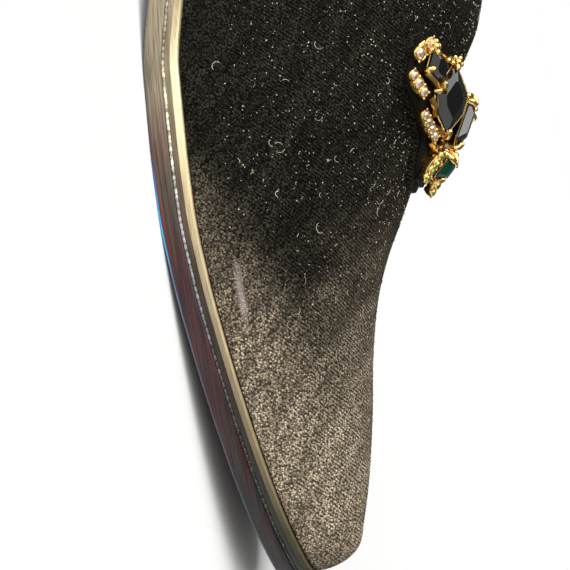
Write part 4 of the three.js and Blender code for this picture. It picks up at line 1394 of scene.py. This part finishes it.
def foiled_crystal(name, dark, light):
    """Crystal over foil: a tinted sparkle that changes from facet to facet"""
    made = new_material(name)
    place = millimetres(made)
    facet = add_node(made, "TexVoronoi", {"Vector": place, "Scale": 1.2})
    grey = add_node(made, "SeparateXYZ", {"Vector": facet.outputs["Color"]})
    colour = add_node(made, "MixRGB", {
        "Fac": grey.outputs["X"], "Color1": linear(dark), "Color2": linear(light)})
    shader = add_node(made, "BsdfPrincipled", {
        "Base Color": colour.outputs[0], "Metallic": 0.7, "Roughness": 0.1})
    return finish_material(made, shader)


def set_stones(leaves, name, material):
    """The stones of some leaves, on both sides, as one piece"""
    parts = []
    for count, shares in leaves:
        row = sized(shares)
        for side in (-1, 1):
            place = cluster_frame(row, side)
            parts += [set_in(place, set_stone(*spot)) for spot in leaf_stones(count, row)]
    made = piece_from(name, *joined(parts), [material], sharp=1)
    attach(made, "root")


set_stones(LEAVES[:3], "champagne_crystals", foiled_crystal("champagne_crystal", "#c39a74", "#fff0d8"))
set_stones(LEAVES[3:], "green_crystals", foiled_crystal("green_crystal", "#3c5a22", "#c3c76a"))

# Cut stones
# Large stones of cut and polished glass in their cups, held by the claws: flat facets that meet at
# crisp edges.

# Opaque glass, flame polished: a dark body, and facets that mirror the lights. Its two shades, its
# IOR and the stones that are cut from it
CUT_GLASS = [
    ("jet_glass", "#020203", "#07080a", 1.7,
     ("large_kite_outer", "large_kite_inner", "small_kite_outer", "small_kite_inner")),
    ("smoke_glass", "#12110f", "#1d1c19", 1.9, ("centre_baguette",)),
    ("bottle_green_glass", "#02301f", "#05452f", 1.5, ("toe_stone",)),
]
for name, deep, lit, index, nodes in CUT_GLASS:
    cut_glass = two_shades(name, (deep, lit), (0.15, 2.0), {"Roughness": 0.05, "IOR": index})
    for node in nodes:
        dress(node, cut_glass)

# Studio
# White paper to the horizon under one very wide soft light, on the heel side of the shoe's outer
# side, in a dim room; the camera stands at the photograph's angle to the shoe.
FLOOR_SIZE = 60.0

# Matt white paper with faint fibres
white_paper = two_shades("white_paper", ("#f6f6f4", "#fbfbfa"), (0.3, 2.0),
                         {"Roughness": 0.95, "Specular IOR Level": 0.0})

floor_mesh = bpy.data.meshes.new("floor")
corners = [(x * FLOOR_SIZE, y * FLOOR_SIZE, 0.0) for x, y in ((-1, -1), (1, -1), (1, 1), (-1, 1))]
floor_mesh.from_pydata(corners, [], [(0, 1, 2, 3)])
floor_mesh.materials.append(white_paper)
floor = bpy.data.objects.new("floor", floor_mesh)
bpy.context.scene.collection.objects.link(floor)

# The sky is bright at the horizon and dim above; its limits are the rise of the direction
SKY_LOW = 1.0
SKY_HIGH = 0.15
SKY_LOW_TO = 0.02
SKY_HIGH_FROM = 0.15
world = bpy.data.worlds.new("studio")
world.use_nodes = True
way = add_node(world, "TexCoord").outputs["Generated"]
rise = add_node(world, "SeparateXYZ", {"Vector": way})
glow = add_node(world, "MapRange", {
    "Value": rise.outputs["Z"], "From Min": SKY_LOW_TO, "From Max": SKY_HIGH_FROM,
    "To Min": SKY_LOW, "To Max": SKY_HIGH})
background = world.node_tree.nodes["Background"]
background.inputs["Color"].default_value = linear("#ffffff")
world.node_tree.links.new(glow.outputs[0], background.inputs["Strength"])
bpy.context.scene.world = world

LIGHT_STRENGTH = 4.4
LIGHT_WIDTH = math.radians(88)
LIGHT_FROM = Vector((-0.45, -0.6, 0.66))
light = bpy.data.lights.new("wide_light", "SUN")
light.energy = LIGHT_STRENGTH
light.angle = LIGHT_WIDTH
lamp = bpy.data.objects.new("wide_light", light)
lamp.rotation_euler = LIGHT_FROM.to_track_quat("Z", "Y").to_euler()
bpy.context.scene.collection.objects.link(lamp)
bpy.context.scene.view_settings.view_transform = "Standard"

# The camera: ahead of the outer side, above the floor and rolled, at a distance from its target
CAMERA_SIDE = math.radians(12.08)
CAMERA_RISE = math.radians(11.4)
CAMERA_ROLL = math.radians(-8.96)
CAMERA_DISTANCE = 347.92
CAMERA_LENS = 91.24
CAMERA_SENSOR = 36.0
CAMERA_CLIP = 0.01
TARGET = np.array([-67.91, 0.0, 17.68])
toward = np.array([math.cos(CAMERA_RISE) * math.sin(CAMERA_SIDE),
                   -math.cos(CAMERA_RISE) * math.cos(CAMERA_SIDE), math.sin(CAMERA_RISE)])
toe_way = np.array([math.cos(CAMERA_SIDE), math.sin(CAMERA_SIDE), 0.0])
up_way = np.cross(toward, toe_way)
right = up_way * math.cos(CAMERA_ROLL) - toe_way * math.sin(CAMERA_ROLL)
up = -(toe_way * math.cos(CAMERA_ROLL) + up_way * math.sin(CAMERA_ROLL))
camera_data = bpy.data.cameras.new("camera")
camera_data.lens = CAMERA_LENS
camera_data.sensor_width = CAMERA_SENSOR
camera_data.clip_start = CAMERA_CLIP
camera = bpy.data.objects.new("camera", camera_data)
rotation = Matrix((right, up, toward)).transposed().to_4x4()
stand = (TARGET + CAMERA_DISTANCE * toward + SHOE_PLACE) * MM
camera.matrix_world = Matrix.Translation(stand) @ rotation
bpy.context.scene.collection.objects.link(camera)
bpy.context.scene.camera = camera
